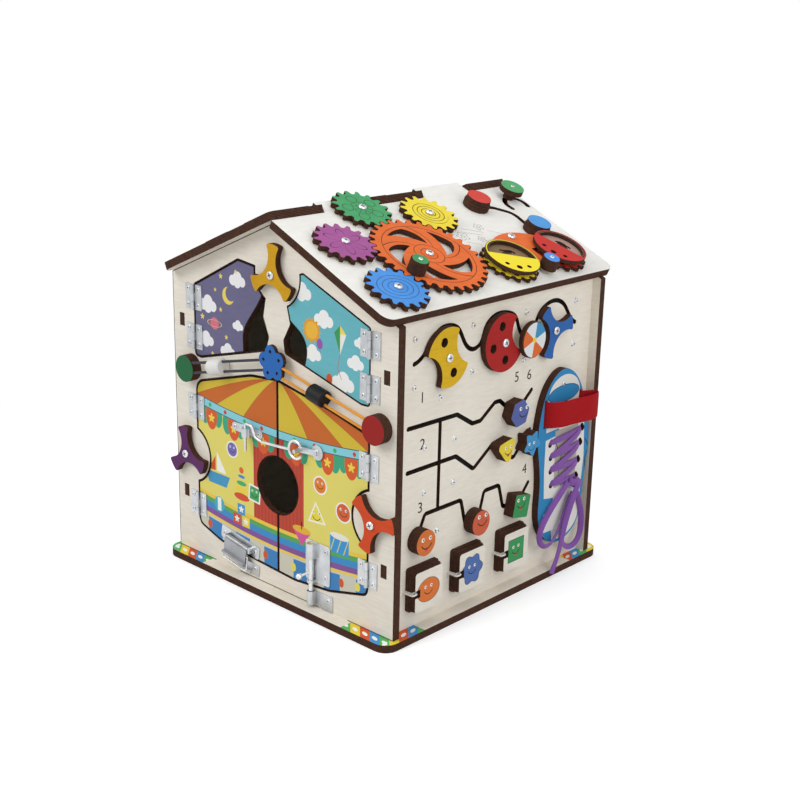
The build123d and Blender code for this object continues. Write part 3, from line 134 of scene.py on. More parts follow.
class Finish:
    """One material or world, its nodes and the surface that ends them."""

    def __init__(self, name, store="materials"):
        self.material = getattr(bpy.data, store).new(name)
        self.material.use_nodes = True
        self.tree = self.material.node_tree
        self.tree.nodes.clear()
        self.place = self.node("ShaderNodeTexCoord", out=3)
        self.normal = self.node("ShaderNodeTexCoord", out=1)

    def node(self, kind, settings=None, values=(), out=0):
        made = self.tree.nodes.new(kind)
        for key, value in (settings or {}).items():
            setattr(made, key, value)
        for key, value in values.items() if isinstance(values, dict) else enumerate(values):
            if isinstance(value, Wire):
                self.tree.links.new(value.socket, made.inputs[key])
            elif value is not None:
                made.inputs[key].default_value = value
        return Wire(self, made.outputs[out])

    def dot(self, wire, direction):
        return self.node("ShaderNodeVectorMath", {"operation": "DOT_PRODUCT"}, [wire, tuple(direction)], out=1)

    def along(self, direction, origin=(0, 0, 0)):
        """Millimetres along a direction from an origin."""
        direction = Vector(direction)
        return self.dot(self.place, direction * 1000) - direction.dot(Vector(origin))

    def noise(self, scale, detail=3.0, rough=0.55, stretch=None):
        place = self.node("ShaderNodeMapping", values={0: self.place, 3: stretch}) if stretch else self.place
        return self.node("ShaderNodeTexNoise", values={"Vector": place, "Scale": scale, "Detail": detail, "Roughness": rough})

    def mix(self, a, b, share):
        a, b = ((*c, 1) if isinstance(c, tuple) else c for c in (a, b))
        return self.node("ShaderNodeMix", {"data_type": "RGBA"}, {0: share, 6: a, 7: b}, out=2)

    def bump(self, height, depth, strength=1.0):
        return self.node("ShaderNodeBump", values={"Strength": strength, "Distance": depth * MM, "Height": height})

    def distance(self, spot, other):
        return self.node("ShaderNodeVectorMath", {"operation": "DISTANCE"}, [spot, other], out=1)

    def end(self, colour, rough, metal=0.0, bump=None, sheen=0.0, shine=0.4):
        return self.close(self.node("ShaderNodeBsdfPrincipled", values={
            "Base Color": colour, "Roughness": rough, "Metallic": metal, "Normal": bump,
            "Sheen Weight": sheen, "Specular IOR Level": shine,
        }))

    def close(self, shade, output="ShaderNodeOutputMaterial"):
        self.tree.links.new(shade.socket, self.tree.nodes.new(output).inputs[0])
        return self.material

    def seen_directly(self):
        """1 for the rays of the camera and those that a gloss or a clear thing sends on."""
        rays = [self.node("ShaderNodeLightPath", out=f"Is {kind} Ray") for kind in ("Camera", "Glossy", "Transmission")]
        return rays[0].at_least(rays[1]).at_least(rays[2])


BLUR = 0.25  # how softly a painted shape ends, in millimetres


class Picture:
    """Flat shapes laid over one another on a face, in millimetres."""

    def __init__(self, finish, face, ground):
        self.finish, self.colour = finish, ground
        self.p = finish.along(face.across, face.origin)
        self.q = finish.along(face.up, face.origin)
        self.spot = finish.node("ShaderNodeCombineXYZ", values=[self.p, self.q])

    def lay(self, mask, colour, only=None):
        self.colour = self.finish.mix(self.colour, colour, mask if only is None else mask * only)

    def inside(self, distance, reach, soft=BLUR):
        return (reach - distance).maths("DIVIDE", soft, clamp=True)

    def reach(self, centre, stretch=(1.0, 1.0)):
        spot, centre = self.spot, (centre[0] / stretch[0], centre[1] / stretch[1], 0)
        if stretch != (1.0, 1.0):
            scale = (1 / stretch[0], 1 / stretch[1], 0)
            spot = self.finish.node("ShaderNodeVectorMath", {"operation": "MULTIPLY"}, [spot, scale])
        return self.finish.distance(spot, centre)

    def turn(self, centre, start=0.0):
        """The angle about a centre, in radians."""
        return (self.q - centre[1]).maths("ARCTAN2", self.p - centre[0]) - radians(start)

    def disc(self, colour, centre, radius, stretch=(1.0, 1.0)):
        self.lay(self.inside(self.reach(centre, stretch), radius), colour)

    def ring(self, colour, centre, radius, width=0.7, stretch=(1.0, 1.0), only=None):
        self.lay(self.inside(abs(self.reach(centre, stretch) - radius), width / 2), colour, only)

    def bar(self, colour, start, end, width):
        run = (end[0] - start[0], end[1] - start[1])
        share = run[0] ** 2 + run[1] ** 2
        along = self.finish.dot(self.spot, (run[0] / share, run[1] / share, 0))
        along = (along - (start[0] * run[0] + start[1] * run[1]) / share).clamped()
        across = self.finish.node("ShaderNodeCombineXYZ", values=[self.p - along * run[0], self.q - along * run[1]])
        self.lay(self.inside(self.finish.distance(across, (*start, 0)), width / 2), colour)

    def patch(self, colour, corners, only=None):
        """A convex patch; its corners go round anticlockwise."""
        mask = None
        for a, b in zip(corners, corners[1:] + corners[:1]):
            length = hypot(b[0] - a[0], b[1] - a[1])
            inward = (-(b[1] - a[1]) / length, (b[0] - a[0]) / length, 0)
            far = self.finish.dot(self.spot, inward) - (inward[0] * a[0] + inward[1] * a[1])
            mask = far if mask is None else mask.at_most(far)
        self.lay(mask.maths("DIVIDE", BLUR, clamp=True), colour, only)

    def square(self, colour, centre, half):
        x, y = centre
        self.patch(colour, [(x - half, y - half), (x + half, y - half), (x + half, y + half), (x - half, y + half)])

    def star(self, colour, centre, reach, points=5, turn=90.0, waist=0.45, line=None):
        """A star, or with a waist near 1 a blossom."""
        wave = abs((self.turn(centre, turn) * (points / 2)).maths("COSINE"))
        edge = self.reach(centre) - (wave ** 1.6) * (reach * (1 - waist)) - reach * waist
        self.lay(self.inside(abs(edge), line / 2) if line else self.inside(edge, 0.0), colour)

    def puffs(self, colour, centre, size):
        """A small cloud of four puffs."""
        for dx, dy, r in ((-0.75, -0.1, 0.6), (0.05, 0.28, 0.72), (0.8, -0.12, 0.56), (0.0, -0.3, 0.6)):
            self.disc(colour, (centre[0] + dx * size, centre[1] + dy * size), r * size)

    def smile(self, centre, size, tongue=None):
        """Two eyes and a smiling mouth."""
        for side in (-1, 1):
            eye = (centre[0] + side * size * 0.34, centre[1] + size * 0.28)
            self.disc(CHALK, eye, size * 0.15)
            self.disc(INK, (eye[0] + size * 0.04, eye[1]), size * 0.075)
        low = (self.q - (centre[1] - size * 0.08)) < 0.0
        if tongue:
            self.disc(tongue, (centre[0], centre[1] - size * 0.42), size * 0.15)
        self.ring(INK, (centre[0], centre[1] + size * 0.12), size * 0.5, size * 0.09, only=low)


CHALK, INK = (0.86, 0.85, 0.80), (0.012, 0.008, 0.006)
CORD_WHITE = (0.72, 0.70, 0.66)
WHITE_FACE, WHITE_SHADE = (0.84, 0.785, 0.69), (0.66, 0.59, 0.49)
BURNT, SINGED = (0.034, 0.015, 0.010), (0.17, 0.075, 0.042)
YELLOW, DEEP_YELLOW, ORANGE, RED = (0.82, 0.66, 0.045), (0.62, 0.33, 0.012), (0.74, 0.145, 0.028), (0.42, 0.018, 0.014)
BLUE, PURPLE = (0.07, 0.26, 0.68), (0.36, 0.09, 0.29)
TOY_RED, TOY_YELLOW, BLOCK_YELLOW = (0.62, 0.10, 0.03), (0.80, 0.66, 0.10), (0.80, 0.62, 0.06)
FACE_ORANGE, FACE_GREEN, PINK, ROSE = (0.66, 0.17, 0.04), (0.04, 0.28, 0.09), (0.60, 0.06, 0.04), (0.55, 0.06, 0.04)
PLY_PITCH, EDGE_ROUGHNESS = 1.45, 0.82


def ripple(run, pitch):
    """A ripple between 0 and 1 along a run."""
    return (run * (2 * pi / pitch)).sine().maths("MULTIPLY_ADD", 0.5, 0.5)


def plywood(name, face, ground=WHITE_FACE, shade=None, draw=None, foot=0.0, gloss=0.5, above=None, ties=None):
    """Plywood with a painted face and laser-burnt cut edges that show its plies.

    foot is the height of its underside over the face, above the height from which it is painted.
    """
    finish = Finish(name)
    height = finish.along(face.out, face.origin)
    grain = finish.noise(60, 5, 0.62, stretch=(1, 1, 6))
    mottle = finish.noise(14, 3)
    shade = shade or tuple(c * 0.72 for c in ground)
    tone = (grain * 0.75 + mottle * 0.5 - 0.42).maths("MULTIPLY", 1.5, clamp=True)
    surface = finish.mix(ground, shade, tone)
    if draw:
        picture = Picture(finish, face, surface)
        draw(picture)
        surface = picture.colour
    # the side that faces away carries neither paint nor print
    outward = finish.dot(finish.normal, face.out) > 0.0
    surface = finish.mix(finish.mix(WHITE_FACE, WHITE_SHADE, tone), surface, outward)
    plies = ripple(height - foot, PLY_PITCH)
    singed = (plies ** 3.0) * (finish.noise(220, 3, 0.6) * 1.7 - 0.25)
    edge = finish.mix(BURNT, SINGED, singed.clamped())
    facing = abs(finish.dot(finish.normal, face.out)) > 0.9
    if above is not None:
        facing = facing * (height > above)
    colour = finish.mix(edge, surface, facing)
    if ties:
        colour = finish.mix(colour, CORD_WHITE, ties(Picture(finish, face, colour)))
    rough = facing * (gloss - EDGE_ROUGHNESS) + EDGE_ROUGHNESS + grain * 0.08
    relief = finish.bump(grain * 0.6 + plies * (1 - facing) * 0.8, 0.12, 0.6)
    return finish.end(colour, rough, bump=relief, shine=0.12)


def metal(name, colour=(0.66, 0.68, 0.70), rough=0.28, marks=0.5):
    """Zinc-plated steel with faint rolling marks and dull patches."""
    finish = Finish(name)
    patches, fine = finish.noise(90, 4), finish.noise(900, 2, 0.5, stretch=(1, 1, 0.2))
    shade = finish.mix(tuple(c * 0.62 for c in colour), colour, (patches * 1.6 - 0.25).clamped())
    return finish.end(shade, patches * 0.22 + rough - 0.06, metal=0.92, bump=finish.bump(fine, 0.03, marks))


def plastic(name, colour, rough=0.3):
    """Moulded plastic or paint with a faint grain."""
    finish = Finish(name)
    grain = finish.noise(500, 2)
    shade = finish.mix(colour, tuple(c * 0.8 for c in colour), finish.noise(70, 3))
    return finish.end(shade, grain * 0.12 + rough, bump=finish.bump(grain, 0.03, 0.4), shine=0.2)


def woven(name, colour, dark, pitch=1.1, rough=0.85, ribs=0.0, sheen=0.15, shine=0.4):
    """Cloth whose weave follows the piece's own map, which is in millimetres."""
    finish = Finish(name)
    flat = finish.node("ShaderNodeUVMap", {"uv_map": "run"})
    run = finish.node("ShaderNodeSeparateXYZ", values=[flat])
    cross = finish.node("ShaderNodeSeparateXYZ", values=[flat], out=1)
    warp, weft = ((w * (2 * pi / pitch)).sine() for w in (run, cross))
    weave = (warp * weft).maths("MULTIPLY_ADD", 0.5, 0.5)
    if ribs:
        rib = (run * (2 * pi / (pitch * 1.6)) + cross * 1.2).sine()
        weave = weave * (1 - ribs) + rib.maths("MULTIPLY_ADD", 0.5 * ribs, 0.5 * ribs)
    fuzz = finish.noise(1500, 2)
    tone = (weave * 0.7 + fuzz * 0.6 - 0.15).clamped()
    relief = finish.bump(weave + fuzz * 0.4, 0.18, 0.9)
    return finish.end(finish.mix(dark, colour, tone), rough, bump=relief, sheen=sheen, shine=shine)


# --- pictures
def night(pic):
    """A violet evening with clouds, stars, a crescent and a ringed ball."""
    for at, size in (((-104, 286), 10.0), ((-58, 318), 9.0), ((-74, 243), 8.5), ((-108, 249), 9.0), ((-58, 272), 6.0)):
        pic.puffs((0.80, 0.79, 0.80), at, size)
    pic.disc((0.78, 0.60, 0.12), (-72, 300), 9.0)
    pic.disc((0.14, 0.133, 0.235), (-68.5, 302.5), 7.6)
    pic.disc((0.62, 0.16, 0.22), (-94, 268), 6.5)
    pic.ring((0.80, 0.52, 0.16), (-94, 268), 9.5, 1.2, (1.15, 0.36))
    for at, size in (
        ((-113, 272), 3.2), ((-83, 318), 3.0), ((-84, 284), 2.6), ((-60, 326), 2.6), ((-92, 303), 2.2), ((-76, 257), 2.6),
        ((-98, 236), 2.4),
    ):
        pic.star((0.80, 0.62, 0.16), at, size, 5)


def noon(pic):
    """A turquoise sky with clouds, a sun, a kite and two toy balloons."""
    for at, size in (
        ((34, 322), 10.0), ((64, 301), 9.5), ((49, 266), 9.0), ((106, 268), 8.0), ((90, 246), 11.0), ((112, 288), 6.0),
    ):
        pic.puffs((0.84, 0.84, 0.82), at, size)
    pic.star((0.72, 0.32, 0.03), (48, 288), 12.5, 14, 0, 0.78)
    pic.disc((0.80, 0.45, 0.05), (48, 288), 8.5)
    pic.patch((0.80, 0.68, 0.10), [(86, 300), (78, 292), (86, 272), (94, 292)])
    pic.patch((0.05, 0.30, 0.10), [(86, 300), (78, 292), (86, 272)])
    pic.patch((0.80, 0.80, 0.76), [(86, 292), (86, 272), (94, 292)])
    for start, end in (((86, 272), (83, 259)), ((83, 259), (88, 249))):
        pic.bar((0.55, 0.05, 0.02), start, end, 0.9)
    for at, colour in (((59, 277), (0.30, 0.10, 0.40)), ((72, 246), (0.60, 0.10, 0.03))):
        pic.disc(colour, at, 4.8, (0.86, 1.1))
        pic.bar(INK, (at[0], at[1] - 5), (at[0] + 1.5, at[1] - 12), 0.5)


SAG = 0.0006  # how much the awning's border and the ground bend upwards, per millimetre
AWNING_PEAK, AWNING_DEPTH = 229.5, 45.5
BORDER_TOP, BORDER_FOOT = 178.0, 169.5


def fair(pic):
    """A broad-striped awning over bunting and a shelf of toys."""
    pic.lay(1.0, (0.74, 0.65, 0.15))
    curtain = (abs(pic.p) < 37.0) * (pic.q > 69.0)
    pic.lay(curtain, (0.50, 0.065, 0.035))
    pic.lay(curtain * ripple(pic.p, 5.2) * 0.4, (0.32, 0.03, 0.02))
    for x in (-102, -67, -22, 26, 70, 102):
        top = 173 + SAG * x * x
        for side in (-1, 1):
            pic.disc((0.05, 0.36, 0.20), (x + side * 10.5, top - 9), 8.0, (0.85, 1.55))
        pic.disc((0.66, 0.11, 0.03), (x, top - 10), 9.0, (1.0, 1.75))
        pic.star((0.82, 0.62, 0.08), (x, top - 13), 5.2, 5)
    level_run = pic.q - pic.p * pic.p * SAG
    gap = (AWNING_PEAK - pic.q).at_least(1.0) / AWNING_DEPTH
    slant = pic.p / (gap ** 0.75)
    awning = level_run > BORDER_TOP
    stripe, lines = 0.0, None
    for border in (-134, -92, -48, -2, 40, 89, 131):
        stripe = (slant > border) + stripe
        line = abs(slant - border) / 1.2
        lines = line if lines is None else lines.at_most(line)
    pic.lay(awning, (0.64, 0.47, 0.045))
    pic.lay(awning * (stripe % 2.0), (0.55, 0.135, 0.025))
    pic.lay(awning * (1.0 - lines).at_least(0.0) * 0.7, (0.30, 0.08, 0.02))
    pic.lay((level_run > BORDER_FOOT) * (level_run < BORDER_TOP), (0.24, 0.60, 0.68))
    for level in (BORDER_FOOT, BORDER_TOP):
        pic.lay(abs(level_run - level) < 0.45, (0.06, 0.10, 0.14))
    for n, x in enumerate((-104, -80, -50, -24, 24, 52, 80, 106)):
        pic.disc(((0.05, 0.42, 0.10), (0.60, 0.06, 0.03))[n % 2], (x, 173.6 + SAG * x * x), 2.4)
    for level, tone in (
        (75, (0.80, 0.55, 0.07)), (71, (0.10, 0.36, 0.10)), (66, (0.05, 0.26, 0.55)),
        (59, (0.22, 0.09, 0.30)), (53, (0.80, 0.58, 0.10)), (50, (0.60, 0.58, 0.47)),
    ):
        pic.lay(level_run < level, tone)
    chequer = ((pic.p / 44.0 + 0.5) % 1.0) < 0.5
    pic.lay((level_run < 48.0) * chequer, (0.05, 0.22, 0.50))
    tones = (TOY_RED, TOY_YELLOW, (0.16, 0.07, 0.30), (0.06, 0.36, 0.12))
    for n, x in enumerate((-108, -86, -64, -42, -20, 22, 46, 68, 90, 112)):
        pic.disc(tones[n % 4], (x, 39 + 0.0007 * x * x), 4.2, (0.85, 1.15))
    toys(pic)


def toys(pic):
    """Blocks, balls, a boat, a top, a ring tower, a drum and a wagon."""
    # sailing boat
    pic.patch((0.06, 0.30, 0.52), [(-108, 95), (-80, 95), (-74, 108), (-114, 108)])
    pic.patch(CHALK, [(-95, 110), (-80, 110), (-95, 132)])
    pic.patch(TOY_RED, [(-97, 110), (-97, 127), (-108, 110)])
    # ring tower
    for level, tone in enumerate(((0.62, 0.08, 0.03), BLOCK_YELLOW, (0.06, 0.40, 0.14), (0.06, 0.26, 0.60))):
        pic.disc(tone, (-56, 92 + 7.4 * level), 10.5 - 1.9 * level, (1.15, 0.38))
    pic.disc((0.70, 0.14, 0.03), (-56, 121), 3.6)
    # stickers with smiling faces: discs, then a triangle and a square given by the bearings of their corners
    for at, size, tone in (
        ((-70, 140), 7.5, (0.18, 0.14, 0.42)), ((60, 137), 8.0, (0.72, 0.20, 0.03)), ((92, 118), 9.0, (0.66, 0.12, 0.04)),
    ):
        pic.disc(CHALK, at, size + 1.6)
        pic.disc(tone, at, size)
        pic.smile(at, size * 1.15)
    for at, size, tone, rim, stretch, bearings in (
        ((55, 104), 10.0, (0.80, 0.66, 0.06), 3.0, 1.15, (95, 215, 335)),
        ((-36, 101), 8.5, (0.05, 0.33, 0.10), 2.2, 1.2, (40, 130, 220, 310)),
    ):
        for grow, colour in ((rim, CHALK), (0.0, tone)):
            pic.patch(colour, [polar(at, (size + grow) * stretch, bearing) for bearing in bearings])
        pic.smile(at, size * 1.15)
    # drum
    pic.patch((0.05, 0.30, 0.62), [(74, 74), (100, 74), (100, 92), (74, 92)])
    for x in (78, 87, 96):
        pic.bar(TOY_YELLOW, (x - 3, 75), (x + 3, 91), 1.2)
    pic.disc((0.80, 0.78, 0.70), (87, 92), 13.0, (1.0, 0.26))
    # spinning top and ball
    pic.patch((0.62, 0.10, 0.30), [(34, 66), (47, 82), (21, 82)])
    pic.disc((0.75, 0.42, 0.04), (34, 83), 13.0, (1.0, 0.3))
    pic.bar(INK, (34, 84), (34, 91), 1.6)
    pic.disc((0.06, 0.40, 0.52), (-92, 74), 8.5)
    pic.patch(CHALK, [(-95, 66.5), (-89, 66.5), (-89, 81.5), (-95, 81.5)])
    # blocks
    for at, tone in (((-64, 66), (0.60, 0.08, 0.03)), ((-50, 66), BLOCK_YELLOW), ((-57, 78), (0.06, 0.30, 0.60))):
        pic.square(tone, at, 6)
        pic.star(CHALK, at, 4.0, 5)


def gear_face(centre, kind, radius):
    """Lines engraved into a gear."""

    def draw(pic):
        line, reach = (0.020, 0.010, 0.008), pic.reach(centre)
        if kind == "petals":
            edge = abs((pic.turn(centre, 10) * 3.0).maths("COSINE")) * (radius * 0.74)
            pic.lay(pic.inside(abs(reach - edge), 0.75, 0.4), line)
        elif kind == "leaves":
            for bearing in range(0, 360, 72):
                pic.ring(line, polar(centre, radius * 0.56, bearing + 20), radius * 0.2, 0.9)
                pic.ring(line, polar(centre, radius * 0.30, bearing + 56), radius * 0.1, 0.8)
        elif kind == "spiral":
            pitch = 4.6
            turn = (reach - pic.turn(centre) * (pitch / (2 * pi))) / pitch
            near = abs((turn % 1.0) - 0.5)
            pic.lay(pic.inside(near, 0.11, 0.05) * pic.inside(reach, radius * 0.7), line)
        elif kind == "ovals":
            for share in (0.36, 0.56, 0.76):
                pic.ring(line, centre, radius * share, 0.85, (1.0, 0.82))
        elif kind == "swirl":
            rim, hub, arms, lean = 47.5, 15.5, 5, 34.0 / 24.0
            for circle in (rim, hub, 8.5):
                pic.ring(line, centre, circle, 0.9)
            turn = pic.turn(centre) - reach * lean * (pi / 180)
            edge = abs((turn * (arms / 2) - 0.45).sine())
            pic.lay(pic.inside(edge, 0.05, 0.02) * (reach > hub) * (reach < rim), line)
            crank_top = pic.finish.along(ROOF.out, ROOF.origin) > 12.0
            pic.lay(crank_top, (0.04, 0.26, 0.09))

    return draw


def wheel_face(centre, facing, paint, floor, slot):
    """Half of the cap painted, the sunk floor of the window left plain; slot is how its one hole is stretched."""

    def draw(pic):
        ahead = (cos(radians(facing)), sin(radians(facing)), 0)
        far = pic.finish.dot(pic.spot, ahead) - (centre[0] * ahead[0] + centre[1] * ahead[1])
        pic.lay(1.0, paint)
        pic.lay(far < 0.0, floor)
        pic.ring(BURNT, centre, 26.8, 3.4, only=far < 0.0)
        pic.ring(paint, centre, 27.4, 1.4, only=far < 0.0)
        for spread, size in ((-35, 2.5), (0, 3.3), (35, 2.5)):
            pic.disc(BURNT, polar(centre, 21.0, facing + spread), size)
        pic.disc(BURNT, polar(centre, 12.5, facing + 180), 5.4, slot)
        pic.lay(pic.reach(centre) > SMALL_GEAR_R, BURNT)

    return draw


def face_top(centre, size, tongue=None):
    """A smiling face on a slider."""
    return lambda pic: pic.smile(centre, size, tongue)


def card_top(centre, colour, kind, tongue=None):
    """A plain cover with one smiling shape printed on it."""

    def draw(pic):
        if kind == "oval":
            pic.disc(INK, centre, 16.0, (1.0, 0.78))
            pic.disc(colour, centre, 15.4, (1.0, 0.78))
        elif kind == "badge":
            pic.star(INK, centre, 16.6, 6, 60, 0.8)
            pic.star(colour, centre, 16.0, 6, 60, 0.8)
        else:
            pic.square(INK, centre, 12.6)
            pic.square(colour, centre, 12.0)
        pic.smile(centre, 12.0, tongue)

    return draw


def base_corners(pic):
    """Coloured bands with small marks near the corners of the base."""
    across, deep = abs(pic.p), abs(pic.q)
    strips = (deep > 155.0) * (across > 104.0)
    strips = strips.at_least((across > 150.0) * (deep > 116.0))
    band_width = 13.0
    step = (pic.p + pic.q) / band_width
    for share, tone in enumerate(((0.78, 0.60, 0.05), TOY_RED, (0.05, 0.28, 0.60), (0.10, 0.42, 0.12))):
        mask = abs((step % 4.0) - (share + 0.5)) < 0.5
        pic.lay(strips * mask, tone)
    mark = abs(((step % 1.0) - 0.5) * band_width)
    lane = abs(deep - 162.5).at_most(abs(across - 157.5))
    near = (mark * mark * 0.5 + lane * lane).maths("SQRT")
    pic.lay(strips * (near < 2.6), CHALK)


def shoe_face(pic):
    """A printed sports shoe: blue rim, pale toe and tongue, blue lens and trims."""
    blue, pale, line = (0.03, 0.22, 0.46), (0.72, 0.70, 0.66), (0.02, 0.012, 0.01)
    pic.lay(1.0, blue)
    # pale inside of the toe and the vamp
    pic.disc(pale, (97.8, 196), 27.0, (1.0, 0.84))
    pic.disc(line, (97.0, 198.5), 26.6, (1.0, 0.36))
    pic.disc(blue, (97.0, 198.5), 25.8, (1.0, 0.34))
    pic.patch(pale, [(68, 168), (132, 168), (126, 192), (72, 192)], only=pic.q < 187.0)
    pic.patch(pale, [(70, 60), (134, 60), (139, 120), (136, 166), (67, 166), (70, 120)])
    pic.disc(pale, (103, 60), 32.0, (1.0, 0.75))
    for trim in (
        [(62, 152), (94, 155), (92, 162), (62, 161)], [(64, 70), (90, 72), (88, 86), (64, 90)],
        [(70, 35), (90, 35), (88, 49), (68, 50)],
    ):
        pic.patch(blue, trim)
    # tongue and eyestays
    pic.patch((0.42, 0.38, 0.34), [(88, 96), (125, 96), (126, 160), (86, 160)])
    for stay in (((86.9, 150), (92, 138), (98.5, 130), (95, 112)), ((139, 140), (147, 129), (141, 118), (143, 104))):
        for start, end in zip(stay, stay[1:]):
            pic.bar(line, start, end, 1.4)
    pic.disc(line, (95.7, 209.4), 2.6)


# --- finishes of the wooden pieces
def roof_marks(pic):
    """Engraved blossoms and leaves beside the sliders, and the burnt floor of the tracks."""
    line, faint = (0.05, 0.03, 0.02), (0.22, 0.15, 0.11)
    for at, size in (((26, -82), 7.5), ((60, -72), 6.0), ((45, -92), 5.0)):
        pic.star(line, at, size, 5, 20, 0.6, line=0.8)
        pic.ring(line, at, size * 0.3, 0.7)
    for start, end in (((30, -75), (52, -86)), ((36, -70), (58, -82)), ((66, -80), (84, -92)), ((22, -92), (36, -100))):
        pic.bar(faint, start, end, 0.7)
    depth = pic.finish.along(ROOF.out, ROOF.origin)
    pic.lay((depth < -2.0) * (depth > -6.0), (0.05, 0.022, 0.014))


def tile_tops(pic):
    pic.lay(pic.finish.along(FAR_ROOF.out, FAR_ROOF.origin) > 1.0, (0.16, 0.062, 0.03))


def card_ties(pic):
    """Where the white cord goes round the left edge of each stack of cards."""
    near = None
    for left in (-129, -65.5, 3.5):
        away = abs(pic.p - left)
        near = away if near is None else near.at_most(away)
    return (abs(pic.q - 47.5) < 1.05) * (near < 7.0)


def anchor_colours(pic):
    """Green disc, blue flower and red disc, from left to right."""
    pic.lay(1.0, (0.02, 0.13, 0.05))
    pic.lay(pic.p > -60.0, (0.025, 0.13, 0.42))
    pic.lay(pic.p > 80.0, (0.30, 0.018, 0.016))


def beach_ball(pic):
    """Six plain panels round a button."""
    centre = (34.0, 267.7)
    panel = pic.turn(centre, 20) * (6 / (2 * pi))
    pic.lay(1.0, (0.70, 0.72, 0.72))
    pic.lay(panel % 2.0 < 1.0, (0.66, 0.14, 0.03))
    pic.lay(panel % 6.0 < 1.0, (0.05, 0.26, 0.48))
    pic.disc((0.80, 0.60, 0.06), centre, 3.0)


HUB_FOOT = 1.1  # turning pieces stand this far off their face, on a washer
wooden = {
    "roof_right": plywood("roof_board", ROOF, (0.80, 0.785, 0.745), (0.68, 0.65, 0.60), roof_marks),
    "upper_left_door": plywood("night_print", FRONT, (0.15, 0.14, 0.245), (0.12, 0.112, 0.205), night, gloss=0.35),
    "upper_right_door": plywood("noon_print", FRONT, (0.15, 0.47, 0.53), (0.12, 0.41, 0.47), noon, gloss=0.35),
    "lower_left_door": plywood("fair_print_left", FRONT, draw=fair, gloss=0.35),
    "rocker": plywood("rocker_paint", ROOF, ORANGE, draw=lambda pic: pic.disc(BLUE, ROCKER_KNOB, 9.4), foot=4.7),
    "card_stacks": plywood("card_pages", SIDE, (0.06, 0.028, 0.018), ties=card_ties),
    "shoe_plate": plywood("shoe_print", SIDE, draw=shoe_face),
    "elastic_anchors": plywood("anchor_paint", FRONT, draw=anchor_colours),
    "ball_disc": plywood("ball_print", SIDE, draw=beach_ball, foot=9.2),
}
wooden["lower_right_door"] = wooden["lower_left_door"]
for node, name, face, draw, foot in (
    ("base_plate", "base_board", BASE, base_corners, -8.0),
    ("front_wall", "front_board", FRONT, None, 0.0),
    ("back_wall", "back_board", BACK, None, 0.0),
    ("left_wall", "left_board", LEFT, None, 0.0),
    ("maze_panel", "maze_board", SIDE, None, 0.0),
    # the backing, seen at the floor of the maze grooves, is painted near black: painted shade down in the grooves
    ("maze_backing", "groove_floor_shade", SIDE, lambda pic: pic.lay(1.0, (0.006, 0.005, 0.004)), 0.0),
    ("roof_left", "tile_board", FAR_ROOF, tile_tops, 0.0),
):
    wooden[node] = plywood(name, face, shade=WHITE_SHADE, draw=draw, foot=foot)
for colour, kind, face, paint in (
    ("yellow", "turner", FRONT, DEEP_YELLOW), ("purple", "turner", FRONT, (0.115, 0.028, 0.12)),
    ("orange", "turner", FRONT, (0.66, 0.075, 0.02)), ("yellow", "spinner", SIDE, (0.70, 0.43, 0.016)),
    ("red", "spinner", SIDE, (0.40, 0.018, 0.016)), ("blue", "spinner", SIDE, (0.03, 0.13, 0.40)),
):
    wooden[f"{colour}_{kind}"] = plywood(f"{kind}_{colour}", face, paint, foot=HUB_FOOT)
wooden["big_gear"] = plywood("gear_orange", ROOF, ORANGE, draw=gear_face(BIG_GEAR, "swirl", BIG_GEAR_R), foot=HUB_FOOT)
for colour, paint, kind in (
    ("blue", (0.07, 0.28, 0.72), "ovals"), ("purple", PURPLE, "petals"), ("green", (0.06, 0.34, 0.13), "leaves"),
    ("yellow", YELLOW, "spiral"),
):
    lines = gear_face(SMALL_GEARS[colour + "_gear"], kind, SMALL_GEAR_R)
    wooden[colour + "_gear"] = plywood("gear_" + colour, ROOF, paint, draw=lines, foot=HUB_FOOT)
for colour, ply, centre, facing, paint, floor, slot in (
    ("yellow", YELLOW, YELLOW_WHEEL, -117.8, (0.80, 0.66, 0.03), (0.20, 0.13, 0.07), (1.35, 0.6)),
    ("red", RED, RED_WHEEL, -160.0, (0.50, 0.025, 0.02), (0.38, 0.25, 0.21), (0.8, 1.4)),
):
    cap = wheel_face(centre, facing, paint, floor, slot)
    wooden[colour + "_wheel"] = plywood("wheel_" + colour, ROOF, ply, draw=cap, foot=HUB_FOOT)
for colour, paint in (("red", (0.62, 0.055, 0.04)), ("blue", (0.08, 0.30, 0.66)), ("green", (0.08, 0.35, 0.13))):
    wooden[colour + "_puck"] = plywood("puck_" + colour, ROOF, paint, foot=0.4, above=9.0)
for node, name, paint, centre, size, tongue in (
    ("blue_hexagon", "hexagon_face", (0.10, 0.13, 0.36), (24.8, 195.6), 14.0, None),
    ("yellow_triangle", "triangle_face", (0.78, 0.62, 0.05), (3.2, 160.2), 11.5, PINK),
    ("blue_star", "star_face", (0.06, 0.30, 0.58), (41.0, 155.4), 11.0, None),
    ("orange_circle", "orange_face", FACE_ORANGE, (-114.2, 96.7), 15.0, (0.55, 0.06, 0.12)),
    ("red_circle", "red_face", (0.58, 0.11, 0.05), (-32.6, 96.7), 15.0, None),
    ("green_square", "green_face", FACE_GREEN, (28.4, 97.6), 13.5, ROSE),
):
    wooden[node] = plywood(name, SIDE, paint, draw=face_top(centre, size, tongue))
for colour, centre, paint, kind, tongue in (
    ("orange", (-110, 48), FACE_ORANGE, "oval", None), ("blue", (-46, 48.5), (0.08, 0.15, 0.38), "badge", None),
    ("green", (23, 48.5), FACE_GREEN, "square", ROSE),
):
    wooden[colour + "_card"] = plywood(colour + "_card_face", SIDE, draw=card_top(centre, paint, kind, tongue))

